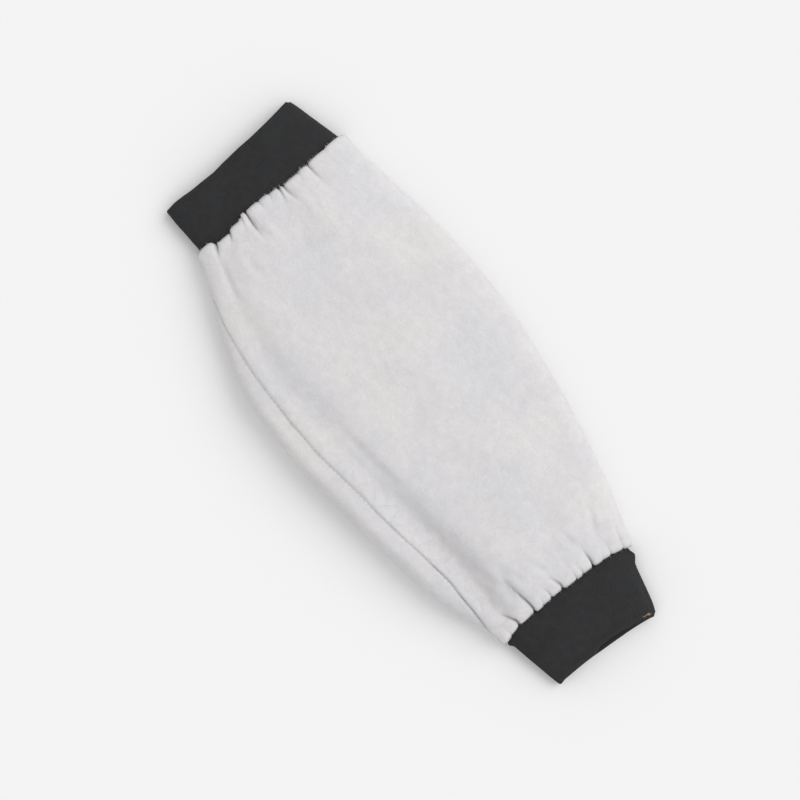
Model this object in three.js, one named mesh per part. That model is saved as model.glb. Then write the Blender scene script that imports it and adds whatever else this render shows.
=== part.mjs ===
// A welder's protective arm sleeve lying on a table: one tube of grey split leather, closed by a
// long side seam and gathered at each end into a wide loop of black ribbed elastic.
// Millimetres. X runs from the upper-arm mouth to the wrist mouth, Y across and Z up from the table.
// Every surface is an offset of one base surface, which runs through the whole sleeve: it is the
// outside of the elastic bands and the lining side of the leather.
import * as THREE from "three";

// Leather tube: the shift is how far its widest stretch lies off the middle, towards the far edge
const LEATHER_LENGTH = 315;
const LEATHER_WIDTH = 169;
const LEATHER_SHIFT = -1.2;
const LEATHER_HEIGHT = 30;
const LEATHER_WALL = 1.4;

// Elastic bands: a band is widest at the seam to the leather and narrower at its mouth. A bow is how
// far the middle of the seam or of the mouth is drawn in towards the leather from its corners.
const BAND_WALL = 1.6;
const UPPER_BAND = {
  length: 38.7,
  seamWidth: 116,
  mouthWidth: 105.8,
  seamTop: 16.5,
  mouthTop: 14,
  seamShift: 5.1,
  mouthShift: -2.2,
  seamLean: -0.05,
  mouthLean: -0.078,
  mouthRecess: 0.8,
  seamBow: 0,
  mouthBow: 0.5,
};
const WRIST_BAND = {
  length: 46,
  seamWidth: 98,
  mouthWidth: 77.6,
  seamTop: 16.5,
  mouthTop: 14,
  seamShift: 2,
  mouthShift: 1.5,
  seamLean: -0.02,
  mouthLean: 0.028,
  mouthRecess: 1.6,
  seamBow: 6,
  mouthBow: 1.8,
};

// How the pieces meet and lie
const SEAM_LAP = 4;
const SEAM_CLEARANCE = 0.3;
const SEAM_LIFT = 1.2;
const BOW_FADE = 70;
const BOW_SQUARENESS = 4;

// Side seam: a sewn groove with the seam allowance lying under the leather beside it
const SEAM_INSET = 14;
const SEAM_GROOVE_DEPTH = 0.9;
const SEAM_GROOVE_WIDTH = 1.6;
const ALLOWANCE_WIDTH = 13;
const ALLOWANCE_RISE = 0.8;
const TROUGH_DEPTH = 5;
const TROUGH_WIDTH = 8.5;
// The strip between the seam and the outline is held up flat by the other allowance
const LEDGE_RISE = 1.8;
const LEDGE_AT = -9.5;
const LEDGE_WIDTH = 5;

// Gathers at the ends of the leather
const GATHER_PUFF = 3.4;
const GATHER_WIDTH = 2.5;
const GATHER_SPREAD = 0.07;
const GATHER_OVERHANG = 2.2;
const PUFF_RISE = 2.6;
const PUFF_LENGTH = 30;

// Roundness of a section: exponents of the crowned top, and shares of its height and half-width
const CROWN_ROUND = 0.72;
const WIDEST_HEIGHT = 0.42;
const BELLY_FLAT = 0.86;

// Outline of the leather from the upper seam (0) to the wrist seam (1). right, left and rise are
// shares of the way from the bands' size to the full size, inset is a share of SEAM_INSET, trough
// is a share of TROUGH_DEPTH and troughAt is the trough's distance from the seam in allowances.
const OUTLINE = [
  { along: 0.0, right: 0.0, left: 0.0, rise: 0.0, inset: 0.0, trough: 0.1, troughAt: 1.0 },
  { along: 0.05, right: 0.08, left: 0.17, rise: 0.4, inset: 0.01, trough: 0.5, troughAt: 1.0 },
  { along: 0.1, right: 0.3, left: 0.42, rise: 0.64, inset: 0.08, trough: 0.45, troughAt: 1.0 },
  { along: 0.2, right: 0.64, left: 0.775, rise: 0.86, inset: 0.39, trough: 0.35, troughAt: 1.0 },
  { along: 0.3, right: 0.865, left: 0.965, rise: 0.97, inset: 0.73, trough: 0.45, troughAt: 1.15 },
  { along: 0.4, right: 0.975, left: 0.99, rise: 1.0, inset: 0.87, trough: 0.5, troughAt: 1.3 },
  { along: 0.5, right: 0.98, left: 0.95, rise: 0.98, inset: 0.96, trough: 0.6, troughAt: 1.35 },
  { along: 0.6, right: 0.865, left: 0.84, rise: 0.93, inset: 0.99, trough: 0.8, troughAt: 1.25 },
  { along: 0.7, right: 0.74, left: 0.695, rise: 0.86, inset: 0.98, trough: 1.0, troughAt: 1.1 },
  { along: 0.8, right: 0.545, left: 0.535, rise: 0.75, inset: 0.9, trough: 1.1, troughAt: 1.05 },
  { along: 0.9, right: 0.28, left: 0.26, rise: 0.55, inset: 0.36, trough: 1.1, troughAt: 1.1 },
  { along: 0.95, right: 0.13, left: 0.1, rise: 0.36, inset: 0.06, trough: 0.8, troughAt: 1.15 },
  { along: 1.0, right: 0.0, left: 0.0, rise: 0.0, inset: 0.0, trough: 0.1, troughAt: 1.2 },
];

// Gather creases round each end, from the side seam over the top, the far edge and the underside.
// upper and wrist are shares of the way round, the lengths are in millimetres along the leather
// and the depths are shares of GATHER_PUFF.
const GATHERS = [
  { upper: 0.0, upperLength: 9, upperDepth: 0.7, wrist: 0.0, wristLength: 10, wristDepth: 0.7 },
  { upper: 0.055, upperLength: 12, upperDepth: 1.0, wrist: 0.036, wristLength: 8, wristDepth: 0.6 },
  { upper: 0.101, upperLength: 9, upperDepth: 0.8, wrist: 0.073, wristLength: 16, wristDepth: 1.0 },
  { upper: 0.146, upperLength: 12, upperDepth: 0.9, wrist: 0.137, wristLength: 30, wristDepth: 1.0 },
  { upper: 0.179, upperLength: 10, upperDepth: 0.8, wrist: 0.17, wristLength: 8, wristDepth: 0.7 },
  { upper: 0.212, upperLength: 8, upperDepth: 0.6, wrist: 0.204, wristLength: 9, wristDepth: 0.8 },
  { upper: 0.236, upperLength: 8, upperDepth: 0.5, wrist: 0.248, wristLength: 10, wristDepth: 1.0 },
  { upper: 0.26, upperLength: 10, upperDepth: 0.7, wrist: 0.3, wristLength: 8, wristDepth: 0.8 },
  { upper: 0.285, upperLength: 13, upperDepth: 0.8, wrist: 0.325, wristLength: 8, wristDepth: 0.8 },
  { upper: 0.343, upperLength: 8, upperDepth: 0.6, wrist: 0.365, wristLength: 11, wristDepth: 1.0 },
  { upper: 0.38, upperLength: 12, upperDepth: 0.8, wrist: 0.4, wristLength: 8, wristDepth: 0.6 },
  { upper: 0.433, upperLength: 8, upperDepth: 0.6, wrist: 0.43, wristLength: 12, wristDepth: 0.8 },
  { upper: 0.497, upperLength: 10, upperDepth: 0.7, wrist: 0.471, wristLength: 14, wristDepth: 0.8 },
  { upper: 0.538, upperLength: 16, upperDepth: 0.9, wrist: 0.55, wristLength: 11, wristDepth: 0.8 },
  { upper: 0.581, upperLength: 10, upperDepth: 0.8, wrist: 0.589, wristLength: 22, wristDepth: 1.0 },
  { upper: 0.627, upperLength: 20, upperDepth: 1.0, wrist: 0.634, wristLength: 10, wristDepth: 0.8 },
  { upper: 0.668, upperLength: 9, upperDepth: 0.7, wrist: 0.671, wristLength: 16, wristDepth: 0.9 },
  { upper: 0.706, upperLength: 14, upperDepth: 0.9, wrist: 0.715, wristLength: 9, wristDepth: 0.8 },
  { upper: 0.752, upperLength: 9, upperDepth: 0.8, wrist: 0.757, wristLength: 28, wristDepth: 1.0 },
  { upper: 0.792, upperLength: 22, upperDepth: 1.0, wrist: 0.795, wristLength: 9, wristDepth: 0.8 },
  { upper: 0.838, upperLength: 9, upperDepth: 0.8, wrist: 0.842, wristLength: 15, wristDepth: 0.9 },
  { upper: 0.876, upperLength: 15, upperDepth: 0.9, wrist: 0.883, wristLength: 10, wristDepth: 0.8 },
  { upper: 0.918, upperLength: 10, upperDepth: 0.8, wrist: 0.921, wristLength: 20, wristDepth: 1.0 },
  { upper: 0.961, upperLength: 13, upperDepth: 0.9, wrist: 0.963, wristLength: 9, wristDepth: 0.8 },
];

// Broad shallow dents in the top of the leather: along and across are shares of its length and of
// the way round, reach and spread are the dent's half-lengths and depth its fall, in millimetres.
const DENTS = [
  { along: 0.2, across: 0.42, reach: 34, spread: 13, depth: 1.5 },
  { along: 0.3, across: 0.2, reach: 40, spread: 20, depth: 0.9 },
  { along: 0.47, across: 0.36, reach: 46, spread: 20, depth: 1.3 },
  { along: 0.56, across: 0.2, reach: 30, spread: 16, depth: 1.0 },
  { along: 0.75, across: 0.4, reach: 36, spread: 14, depth: 1.6 },
  { along: 0.87, across: 0.29, reach: 22, spread: 12, depth: 1.3 },
  { along: 0.12, across: 0.25, reach: 20, spread: 12, depth: 1.2 },
];

// Mesh: columns between two gather creases, points that trace a section, and the rows of a piece
const COLUMNS_PER_GATHER = 3;
const SECTION_POINTS = 180;
const END_ROWS = [0, 1.3, 3.6, 7.5, 12.5, 20, 30, 44];
const MIDDLE_STEPS = 11;
const BAND_STEPS = 3;

const BASE_OFFSET = SEAM_CLEARANCE + LEATHER_WALL;

function mix(a, b, share) {
  return a + (b - a) * share;
}

function smoothStep(low, high, value) {
  return THREE.MathUtils.smoothstep(value, low, high);
}

function bell(distance, width) {
  return Math.exp(-((distance / width) ** 2));
}

// The value of one column of OUTLINE at a share of the leather's length, on a smooth curve
function outlineAt(column, along) {
  const last = OUTLINE.length - 2;
  const row = Math.max(0, Math.min(last, OUTLINE.findIndex((r) => r.along > along) - 1));
  const found = along >= 1 ? last : row;
  const [a, b] = [OUTLINE[found], OUTLINE[found + 1]];
  const before = OUTLINE[Math.max(found - 1, 0)];
  const after = OUTLINE[Math.min(found + 2, OUTLINE.length - 1)];
  const step = b.along - a.along;
  const share = (along - a.along) / step;
  const slopeA = ((b[column] - before[column]) / (b.along - before.along)) * step;
  const slopeB = ((after[column] - a[column]) / (after.along - a.along)) * step;
  const [s2, s3] = [share ** 2, share ** 3];
  return (
    (2 * s3 - 3 * s2 + 1) * a[column] +
    (s3 - 2 * s2 + share) * slopeA +
    (3 * s2 - 2 * s3) * b[column] +
    (s3 - s2) * slopeB
  );
}

// Size of the base surface across an elastic band, from its seam (0) to its mouth (1). inward is 1
// where the leather lies towards +X and -1 where it lies towards -X.
function bandSize(band, toMouth, inward = 1) {
  const half = mix(band.seamWidth, band.mouthWidth, toMouth) / 2;
  const shift = mix(band.seamShift, band.mouthShift, toMouth);
  return {
    right: half + shift,
    left: half - shift,
    top: mix(band.seamTop, band.mouthTop, toMouth),
    bottom: mix(BASE_OFFSET + SEAM_LIFT, 0, toMouth),
    lean: mix(band.seamLean, band.mouthLean, toMouth),
    recess: band.mouthRecess * toMouth ** 2,
    bow: inward * mix(band.seamBow, band.mouthBow, toMouth),
    inset: 0,
  };
}

// Size of the base surface at x, which is 0 at the upper seam and LEATHER_LENGTH at the wrist seam
function sizeAt(x) {
  if (x < 0) return bandSize(UPPER_BAND, -x / UPPER_BAND.length);
  if (x > LEATHER_LENGTH) return bandSize(WRIST_BAND, (x - LEATHER_LENGTH) / WRIST_BAND.length, -1);
  const along = x / LEATHER_LENGTH;
  const [upper, wrist] = [bandSize(UPPER_BAND, 0), bandSize(WRIST_BAND, 0)];
  const fullHalf = LEATHER_WIDTH / 2 - BASE_OFFSET;
  const bowShare = (fromSeam) => 1 - smoothStep(0, BOW_FADE, fromSeam);
  const between = (name) => mix(upper[name], wrist[name], along);
  const grown = (name, full, share) => mix(between(name), full, outlineAt(share, along));
  const fromEnd = Math.min(x, LEATHER_LENGTH - x);
  return {
    right: grown("right", fullHalf + LEATHER_SHIFT, "right"),
    left: grown("left", fullHalf - LEATHER_SHIFT, "left"),
    top: grown("top", LEATHER_HEIGHT - BASE_OFFSET, "rise"),
    bottom: mix(BASE_OFFSET + SEAM_LIFT, BASE_OFFSET, smoothStep(0, PUFF_LENGTH, fromEnd)),
    lean: mix(upper.lean, wrist.lean, smoothStep(0, 1, along)),
    recess: 0,
    bow: upper.bow * bowShare(x) - wrist.bow * bowShare(LEATHER_LENGTH - x),
    inset: SEAM_INSET * outlineAt("inset", along),
  };
}

// One closed section of the base surface, traced from its widest point on the seam side over the
// top and back along the belly, with the distance travelled to each point
function traceSection(size) {
  const half = (size.right + size.left) / 2;
  const middle = (size.right - size.left) / 2;
  const widest = mix(size.bottom, size.top, WIDEST_HEIGHT);
  const flatFrom = Math.sqrt(1 - BELLY_FLAT ** 2);
  const trace = [];
  for (let i = 0; i <= SECTION_POINTS; i++) {
    const turn = Math.PI - (2 * Math.PI * i) / SECTION_POINTS;
    const lift = Math.sin(turn);
    const y = middle + half * Math.cos(turn);
    const q = Math.min(1, Math.abs(lift) / flatFrom);
    const z =
      lift >= 0
        ? widest + (size.top - widest) * lift ** CROWN_ROUND
        : size.bottom + (widest - size.bottom) * (1 - Math.sqrt(q * (2 - q)));
    const before = trace[i - 1];
    const length = before ? before.length + Math.hypot(y - before.y, z - before.z) : 0;
    trace.push({ y, z, length });
  }
  return trace;
}

// The point and outward direction of a traced section at a distance from its first point
function pointOn(trace, distance) {
  const total = trace[SECTION_POINTS].length;
  const wanted = THREE.MathUtils.euclideanModulo(distance, total);
  let i = 1;
  while (i < SECTION_POINTS && trace[i].length < wanted) i++;
  const [a, b] = [trace[i - 1], trace[i]];
  const share = (wanted - a.length) / (b.length - a.length);
  const y = mix(a.y, b.y, share);
  const z = mix(a.z, b.z, share);
  return { y, z };
}

function directionOn(trace, distance) {
  const reach = trace[SECTION_POINTS].length / SECTION_POINTS;
  const ahead = pointOn(trace, distance + reach);
  const behind = pointOn(trace, distance - reach);
  const length = Math.hypot(ahead.y - behind.y, ahead.z - behind.z);
  return { y: -(ahead.z - behind.z) / length, z: (ahead.y - behind.y) / length };
}

// Distance from the section's first point to the side seam, which lies inset from the outline
function seamDistance(trace, inset) {
  const wanted = trace[0].y + inset;
  const i = Math.max(1, trace.findIndex((point) => point.y >= wanted));
  const [a, b] = [trace[i - 1], trace[i]];
  return inset > 0 ? mix(a.length, b.length, (wanted - a.y) / (b.y - a.y)) : 0;
}

// Share of the way round of each mesh column: every gather crease has a column of its own
function columnShares(end) {
  return GATHERS.flatMap((gather, i) => {
    const next = i + 1 < GATHERS.length ? GATHERS[i + 1][end] : 1;
    return Array.from({ length: COLUMNS_PER_GATHER }, (_, k) =>
      mix(gather[end], next, k / COLUMNS_PER_GATHER),
    );
  });
}
const UPPER_SHARES = columnShares("upper");
const WRIST_SHARES = columnShares("wrist");
const COLUMNS = UPPER_SHARES.length;

// Where a row at x crosses the columns: base points, outward directions and shares of the way round.
// The first half of the way round goes over the top from the side seam to the far edge, the second
// half goes back underneath, so the far edge keeps its columns all along the sleeve.
function baseRow(x) {
  const size = sizeAt(x);
  const half = (size.right + size.left) / 2;
  const middle = (size.right - size.left) / 2;
  const trace = traceSection(size);
  const seam = seamDistance(trace, size.inset);
  const farEdge = trace[SECTION_POINTS / 2].length;
  const over = farEdge - seam;
  const under = trace[SECTION_POINTS].length - over;
  const along = THREE.MathUtils.clamp(x / LEATHER_LENGTH, 0, 1);
  return UPPER_SHARES.map((share, i) => {
    const round = mix(share, WRIST_SHARES[i], along);
    const around = 2 * (round < 0.5 ? over : under);
    const distance = farEdge + (round - 0.5) * around;
    const point = pointOn(trace, distance);
    const out = directionOn(trace, distance);
    const recess = size.recess * Math.max(0, point.z / size.top) * Math.sign(x);
    const fromMiddle = (point.y - middle) / half;
    const bow = size.bow * (1 - fromMiddle ** BOW_SQUARENESS);
    return { x: x - recess + bow, lean: size.lean, round, around, point, out };
  });
}

// How deep the gathers of one end are at a share of the way round, from 0 on a lobe to 1 in a crease
function creaseDepth(end, round, around, fromEnd) {
  let deepest = 0;
  for (const gather of GATHERS) {
    const share = Math.abs(round - gather[end]);
    const distance = Math.min(share, 1 - share) * around;
    const fade = Math.exp(-((fromEnd / gather[end + "Length"]) ** 1.6));
    const width = GATHER_WIDTH + GATHER_SPREAD * fromEnd;
    const depth = gather[end + "Depth"] * Math.exp(-((distance / width) ** 1.5)) * fade;
    deepest = Math.max(deepest, depth);
  }
  return deepest;
}

// Height of the leather over the base surface made by the gathers of one end
function gatherRelief(end, round, around, fromEnd) {
  const rise = Math.sqrt(1 - (1 - Math.min(1, fromEnd / PUFF_RISE)) ** 2);
  const puff = GATHER_PUFF * rise * Math.exp(-((fromEnd / PUFF_LENGTH) ** 1.4));
  const crease = GATHER_PUFF * rise * creaseDepth(end, round, around, fromEnd);
  return puff - crease;
}

// Height of the side seam's groove, of the leather over its allowances and of the trough beside it
function seamRelief(round, around, along) {
  const fromSeam = (round > 0.5 ? round - 1 : round) * around;
  const groove = -SEAM_GROOVE_DEPTH * bell(fromSeam, SEAM_GROOVE_WIDTH);
  const allowance =
    ALLOWANCE_RISE * smoothStep(0, 2, fromSeam) * (1 - smoothStep(0.7, 1.1, fromSeam / ALLOWANCE_WIDTH));
  const troughAt = ALLOWANCE_WIDTH * outlineAt("troughAt", along);
  const trough = -TROUGH_DEPTH * outlineAt("trough", along) * bell(fromSeam - troughAt, TROUGH_WIDTH);
  const ledge = LEDGE_RISE * smoothStep(0.12, 0.3, along) * bell(fromSeam - LEDGE_AT, LEDGE_WIDTH);
  return groove + allowance + trough + ledge;
}

function dentRelief(round, around, along) {
  return DENTS.reduce((sum, dent) => {
    const alongBell = bell((along - dent.along) * LEATHER_LENGTH, dent.reach);
    return sum - dent.depth * alongBell * bell((round - dent.across) * around, dent.spread);
  }, 0);
}

// One row of the leather: its outer and lining points
function leatherRow(x) {
  const along = x / LEATHER_LENGTH;
  const fromUpper = x;
  const fromWrist = LEATHER_LENGTH - x;
  const fromEnd = Math.min(fromUpper, fromWrist);
  const pastLap = smoothStep(SEAM_LAP, SEAM_LAP + PUFF_LENGTH / 4, fromEnd);
  const edge = fromEnd < PUFF_RISE ? 1 - fromEnd / PUFF_RISE : 0;
  const end = fromUpper < fromWrist ? "upper" : "wrist";
  const outward = end === "upper" ? -1 : 1;
  const outer = [];
  const inner = [];
  for (const base of baseRow(x)) {
    const gathers =
      gatherRelief("upper", base.round, base.around, fromUpper) +
      gatherRelief("wrist", base.round, base.around, fromWrist);
    const shaped =
      seamRelief(base.round, base.around, along) + dentRelief(base.round, base.around, along);
    const relief = gathers + shaped * pastLap;
    const lobe = 1 - creaseDepth(end, base.round, base.around, 0);
    const overhang = outward * GATHER_OVERHANG * lobe * edge;
    const place = (offset, floor) => {
      const y = base.point.y + base.out.y * offset;
      const z = Math.max(floor, base.point.z + base.out.z * offset);
      return new THREE.Vector3(base.x + overhang + base.lean * y, y, z);
    };
    outer.push(place(relief + BASE_OFFSET, 0));
    inner.push(place(relief + SEAM_CLEARANCE, LEATHER_WALL));
  }
  return { outer, inner };
}

// One row of a band: its outer and inner points
function bandRow(x) {
  const outer = [];
  const inner = [];
  for (const base of baseRow(x)) {
    const place = (offset) => {
      const y = base.point.y + base.out.y * offset;
      const z = Math.max(0, base.point.z + base.out.z * offset);
      return new THREE.Vector3(base.x + base.lean * y, y, z);
    };
    outer.push(place(0));
    inner.push(place(-BAND_WALL));
  }
  return { outer, inner };
}

// A tube wall through rows of outer and inner points, closed by a rim at each end. Each quad is
// split along its shorter diagonal.
function tubeWall(rows) {
  const positions = [];
  for (const row of rows)
    for (const point of [...row.outer, ...row.inner]) positions.push(point.x, point.y, point.z);
  const index = [];
  const span = (a, b) => Math.hypot(...[0, 1, 2].map((k) => positions[3 * a + k] - positions[3 * b + k]));
  const quad = (a, b, c, d) => {
    if (span(a, c) < span(b, d)) index.push(a, c, b, a, d, c);
    else index.push(a, d, b, b, d, c);
  };
  const at = (row, side, column) => (row * 2 + side) * COLUMNS + (column % COLUMNS);
  for (let c = 0; c < COLUMNS; c++) {
    for (let r = 0; r + 1 < rows.length; r++) {
      quad(at(r, 0, c), at(r, 0, c + 1), at(r + 1, 0, c + 1), at(r + 1, 0, c));
      quad(at(r, 1, c), at(r + 1, 1, c), at(r + 1, 1, c + 1), at(r, 1, c + 1));
    }
    const last = rows.length - 1;
    quad(at(0, 0, c), at(0, 1, c), at(0, 1, c + 1), at(0, 0, c + 1));
    quad(at(last, 0, c), at(last, 0, c + 1), at(last, 1, c + 1), at(last, 1, c));
  }
  const geometry = new THREE.BufferGeometry();
  geometry.setAttribute("position", new THREE.Float32BufferAttribute(positions, 3));
  geometry.setIndex(index);
  geometry.computeVertexNormals();
  return geometry;
}

function makeLeatherTube() {
  const lastEnd = END_ROWS.at(-1);
  const middle = Array.from({ length: MIDDLE_STEPS - 1 }, (_, i) =>
    mix(lastEnd, LEATHER_LENGTH - lastEnd, (i + 1) / MIDDLE_STEPS),
  );
  const wristRows = END_ROWS.map((x) => LEATHER_LENGTH - x).reverse();
  const rows = [...END_ROWS, ...middle, ...wristRows].map(leatherRow);
  const suede = new THREE.MeshStandardMaterial({ color: 0xcfcdcc, roughness: 0.95, metalness: 0 });
  const mesh = new THREE.Mesh(tubeWall(rows), suede);
  mesh.name = "leather_tube";
  return mesh;
}

// A band runs from its mouth to its sewn edge, which lies under the end of the leather
function makeBand(name, mouthX, seamX, sewnX) {
  const steps = Array.from({ length: BAND_STEPS + 1 }, (_, i) => mix(mouthX, seamX, i / BAND_STEPS));
  const xs = [...steps, sewnX].sort((a, b) => a - b);
  const elastic = new THREE.MeshStandardMaterial({ color: 0x2e2f30, roughness: 0.85, metalness: 0 });
  const mesh = new THREE.Mesh(tubeWall(xs.map(bandRow)), elastic);
  mesh.name = name;
  return mesh;
}

const sleeve = new THREE.Group();
sleeve.add(makeLeatherTube());
sleeve.add(makeBand("upper_band", -UPPER_BAND.length, 0, SEAM_LAP));
sleeve.add(
  makeBand(
    "wrist_band",
    LEATHER_LENGTH + WRIST_BAND.length,
    LEATHER_LENGTH,
    LEATHER_LENGTH - SEAM_LAP,
  ),
);

// The origin is on the table under the middle of the whole sleeve
const middle = new THREE.Box3().setFromObject(sleeve).getCenter(new THREE.Vector3());
sleeve.position.set(-middle.x, -middle.y, 0);
const part = new THREE.Group();
part.add(sleeve);

export default part;
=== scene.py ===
"""A welder's protective arm sleeve lying on a pale table: a tube of light grey split leather with a
sewn side seam, gathered at each end into a wide loop of black ribbed elastic.

Laid out as an add-on: the sizes and colours are properties, each piece or group of like pieces has
an operator, and a panel in the sidebar lists them. Lengths are in metres.
"""

import math
from collections import namedtuple

import bpy
import numpy as np
from bpy.props import FloatProperty, FloatVectorProperty, IntProperty, PointerProperty
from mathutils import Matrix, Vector
from mathutils.bvhtree import BVHTree


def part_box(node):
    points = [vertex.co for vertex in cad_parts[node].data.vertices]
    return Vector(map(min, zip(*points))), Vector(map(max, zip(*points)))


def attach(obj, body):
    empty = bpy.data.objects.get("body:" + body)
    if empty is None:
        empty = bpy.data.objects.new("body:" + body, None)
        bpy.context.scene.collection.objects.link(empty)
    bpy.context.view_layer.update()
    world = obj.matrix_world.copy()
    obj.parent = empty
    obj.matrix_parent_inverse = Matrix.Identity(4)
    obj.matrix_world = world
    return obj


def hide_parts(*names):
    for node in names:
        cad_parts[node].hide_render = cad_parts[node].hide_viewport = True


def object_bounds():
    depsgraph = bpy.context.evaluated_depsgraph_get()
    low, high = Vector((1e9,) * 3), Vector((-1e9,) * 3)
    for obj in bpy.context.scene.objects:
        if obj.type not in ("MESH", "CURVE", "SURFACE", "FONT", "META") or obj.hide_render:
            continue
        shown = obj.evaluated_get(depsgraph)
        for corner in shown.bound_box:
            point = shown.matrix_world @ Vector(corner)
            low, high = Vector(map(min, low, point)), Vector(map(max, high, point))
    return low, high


bl_info = {
    "name": "Welding Sleeve",
    "version": (1, 0, 0),
    "blender": (4, 5, 0),
    "location": "View3D > Sidebar > Sleeve",
    "description": "Builds a gathered split leather arm sleeve with two elastic bands",
    "category": "Add Mesh",
}

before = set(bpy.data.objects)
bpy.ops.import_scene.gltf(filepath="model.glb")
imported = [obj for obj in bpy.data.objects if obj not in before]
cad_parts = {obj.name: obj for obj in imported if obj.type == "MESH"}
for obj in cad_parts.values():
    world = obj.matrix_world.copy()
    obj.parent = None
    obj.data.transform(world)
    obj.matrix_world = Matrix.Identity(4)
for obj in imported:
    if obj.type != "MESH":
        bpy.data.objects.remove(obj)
CAD_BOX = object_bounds()

MM = 0.001

# How the pieces meet and lie, as in the solids that they stand for
SEAM_LAP = 4 * MM
SEAM_CLEARANCE = 0.3 * MM
SEAM_LIFT = 1.2 * MM
BOW_FADE = 70 * MM
BOW_SQUARENESS = 4

# Roundness of a section, and how many points trace it
CROWN_ROUND = 0.72
WIDEST_HEIGHT = 0.42
BELLY_FLAT = 0.86
TRACE_POINTS = 720

# Side seam: its stitches, each reaching over a share of the way round at depths in millimetres, and how
# far from the leather's ends they stop, the half-width of its groove, the stretch over which the
# groove opens towards the wrist, in shares of the length, the share of its full depth that it has all
# along and that it gains there, its unevenness, the pull of each stitch, and how far it wanders
STITCH_PITCH = 3.4 * MM
STITCH_RADIUS = 0.16 * MM
STITCH_REACH = 0.0028
STITCH_DEPTHS = (-0.17, -0.12, -0.02, -0.12, -0.17)
STITCHES_STOP = (12 * MM, 10 * MM)
GROOVE_WIDTH = 0.6 * MM
GROOVE_OPENS = (0.76, 0.83)
GROOVE_SHARES = (0.5, 0.65)
GROOVE_UNEVEN = 0.2
GROOVE_UNEVEN_SIZE = 30 * MM
STITCH_PULL = 0.1
SEAM_WANDER = 0.5 * MM
SEAM_WANDER_SIZE = 26 * MM

# Beside the seam: where the print of the allowance falls away, in allowance widths, the half-widths
# of the trough towards the seam and away from it, each in the middle of the sleeve and at the wrist,
# and the strip between the seam and the outline
ALLOWANCE_FALL = (0.4, 1.15)
TROUGH_NEAR = (10 * MM, 7.5 * MM)
TROUGH_FAR = (8.5 * MM, 11.5 * MM)
TROUGH_CHANGES = (0.6, 0.85)
LEDGE_AT = -9.5 * MM
LEDGE_WIDTH = 5 * MM

# Painted shade along the trough over the allowance: its distance from the seam, and its half-width and
# strength in the middle of the sleeve and at the wrist
TROUGH_SHADE_AT = 13 * MM
TROUGH_SHADE_WIDTH = (5 * MM, 10 * MM)
TROUGH_SHADE_STRENGTH = (0.11, 0.2)
TROUGH_SHADE_CHANGES = (0.65, 0.85)

# Gathers: half-width of a crease and how fast it spreads, reach and rounding of the lobes between
# them, their unevenness, the share that they even out to, and the depth of the slit in a crease
# over the elastic and past it
GATHER_WIDTH = 1.3 * MM
GATHER_SPREAD = 0.12
PUFF_LENGTH = 30 * MM
PUFF_RISE = 2.6 * MM
LOBE_UNEVEN = 0.16
LOBE_SIZE = 24 * MM
PLAIN_LOBE = 0.85
SLIT_WIDTH = 0.7 * MM
SLIT_DEPTH = (0.7 * MM, 1.7 * MM)

# Soft unevenness of the leather: the size of its bumps and their height in millimetres, the step from
# the seed to their draws, and how much of it is left away from the gathered ends
Swell = namedtuple("Swell", "size height step in_middle")
SWELLS = [
    Swell(46, 0.42, 2, 1.0),
    Swell(13, 0.16, 3, 0.35),
    Swell(5, 0.05, 4, 1.0),
]
SWELL_FADE = 34 * MM

# Outline of the leather from the upper seam (0) to the wrist seam (1), in shares of its own sizes
Outline = namedtuple("Outline", "along right left rise inset trough trough_at")
OUTLINE = [
    Outline(0.0, 0.0, 0.0, 0.0, 0.0, 0.1, 1.0),
    Outline(0.05, 0.08, 0.17, 0.4, 0.01, 0.2, 1.0),
    Outline(0.1, 0.3, 0.42, 0.64, 0.08, 0.3, 1.0),
    Outline(0.2, 0.64, 0.775, 0.86, 0.39, 0.35, 1.0),
    Outline(0.3, 0.865, 0.965, 0.97, 0.73, 0.45, 1.15),
    Outline(0.4, 0.975, 0.99, 1.0, 0.87, 0.5, 1.3),
    Outline(0.5, 0.98, 0.95, 0.98, 0.96, 0.6, 1.35),
    Outline(0.6, 0.865, 0.84, 0.93, 0.99, 0.95, 1.2),
    Outline(0.7, 0.74, 0.695, 0.86, 0.98, 1.25, 1.0),
    Outline(0.8, 0.545, 0.535, 0.75, 0.9, 1.4, 0.92),
    Outline(0.9, 0.28, 0.26, 0.55, 0.36, 1.35, 0.9),
    Outline(0.95, 0.13, 0.1, 0.36, 0.06, 0.8, 1.0),
    Outline(1.0, 0.0, 0.0, 0.0, 0.0, 0.1, 1.2),
]

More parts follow.
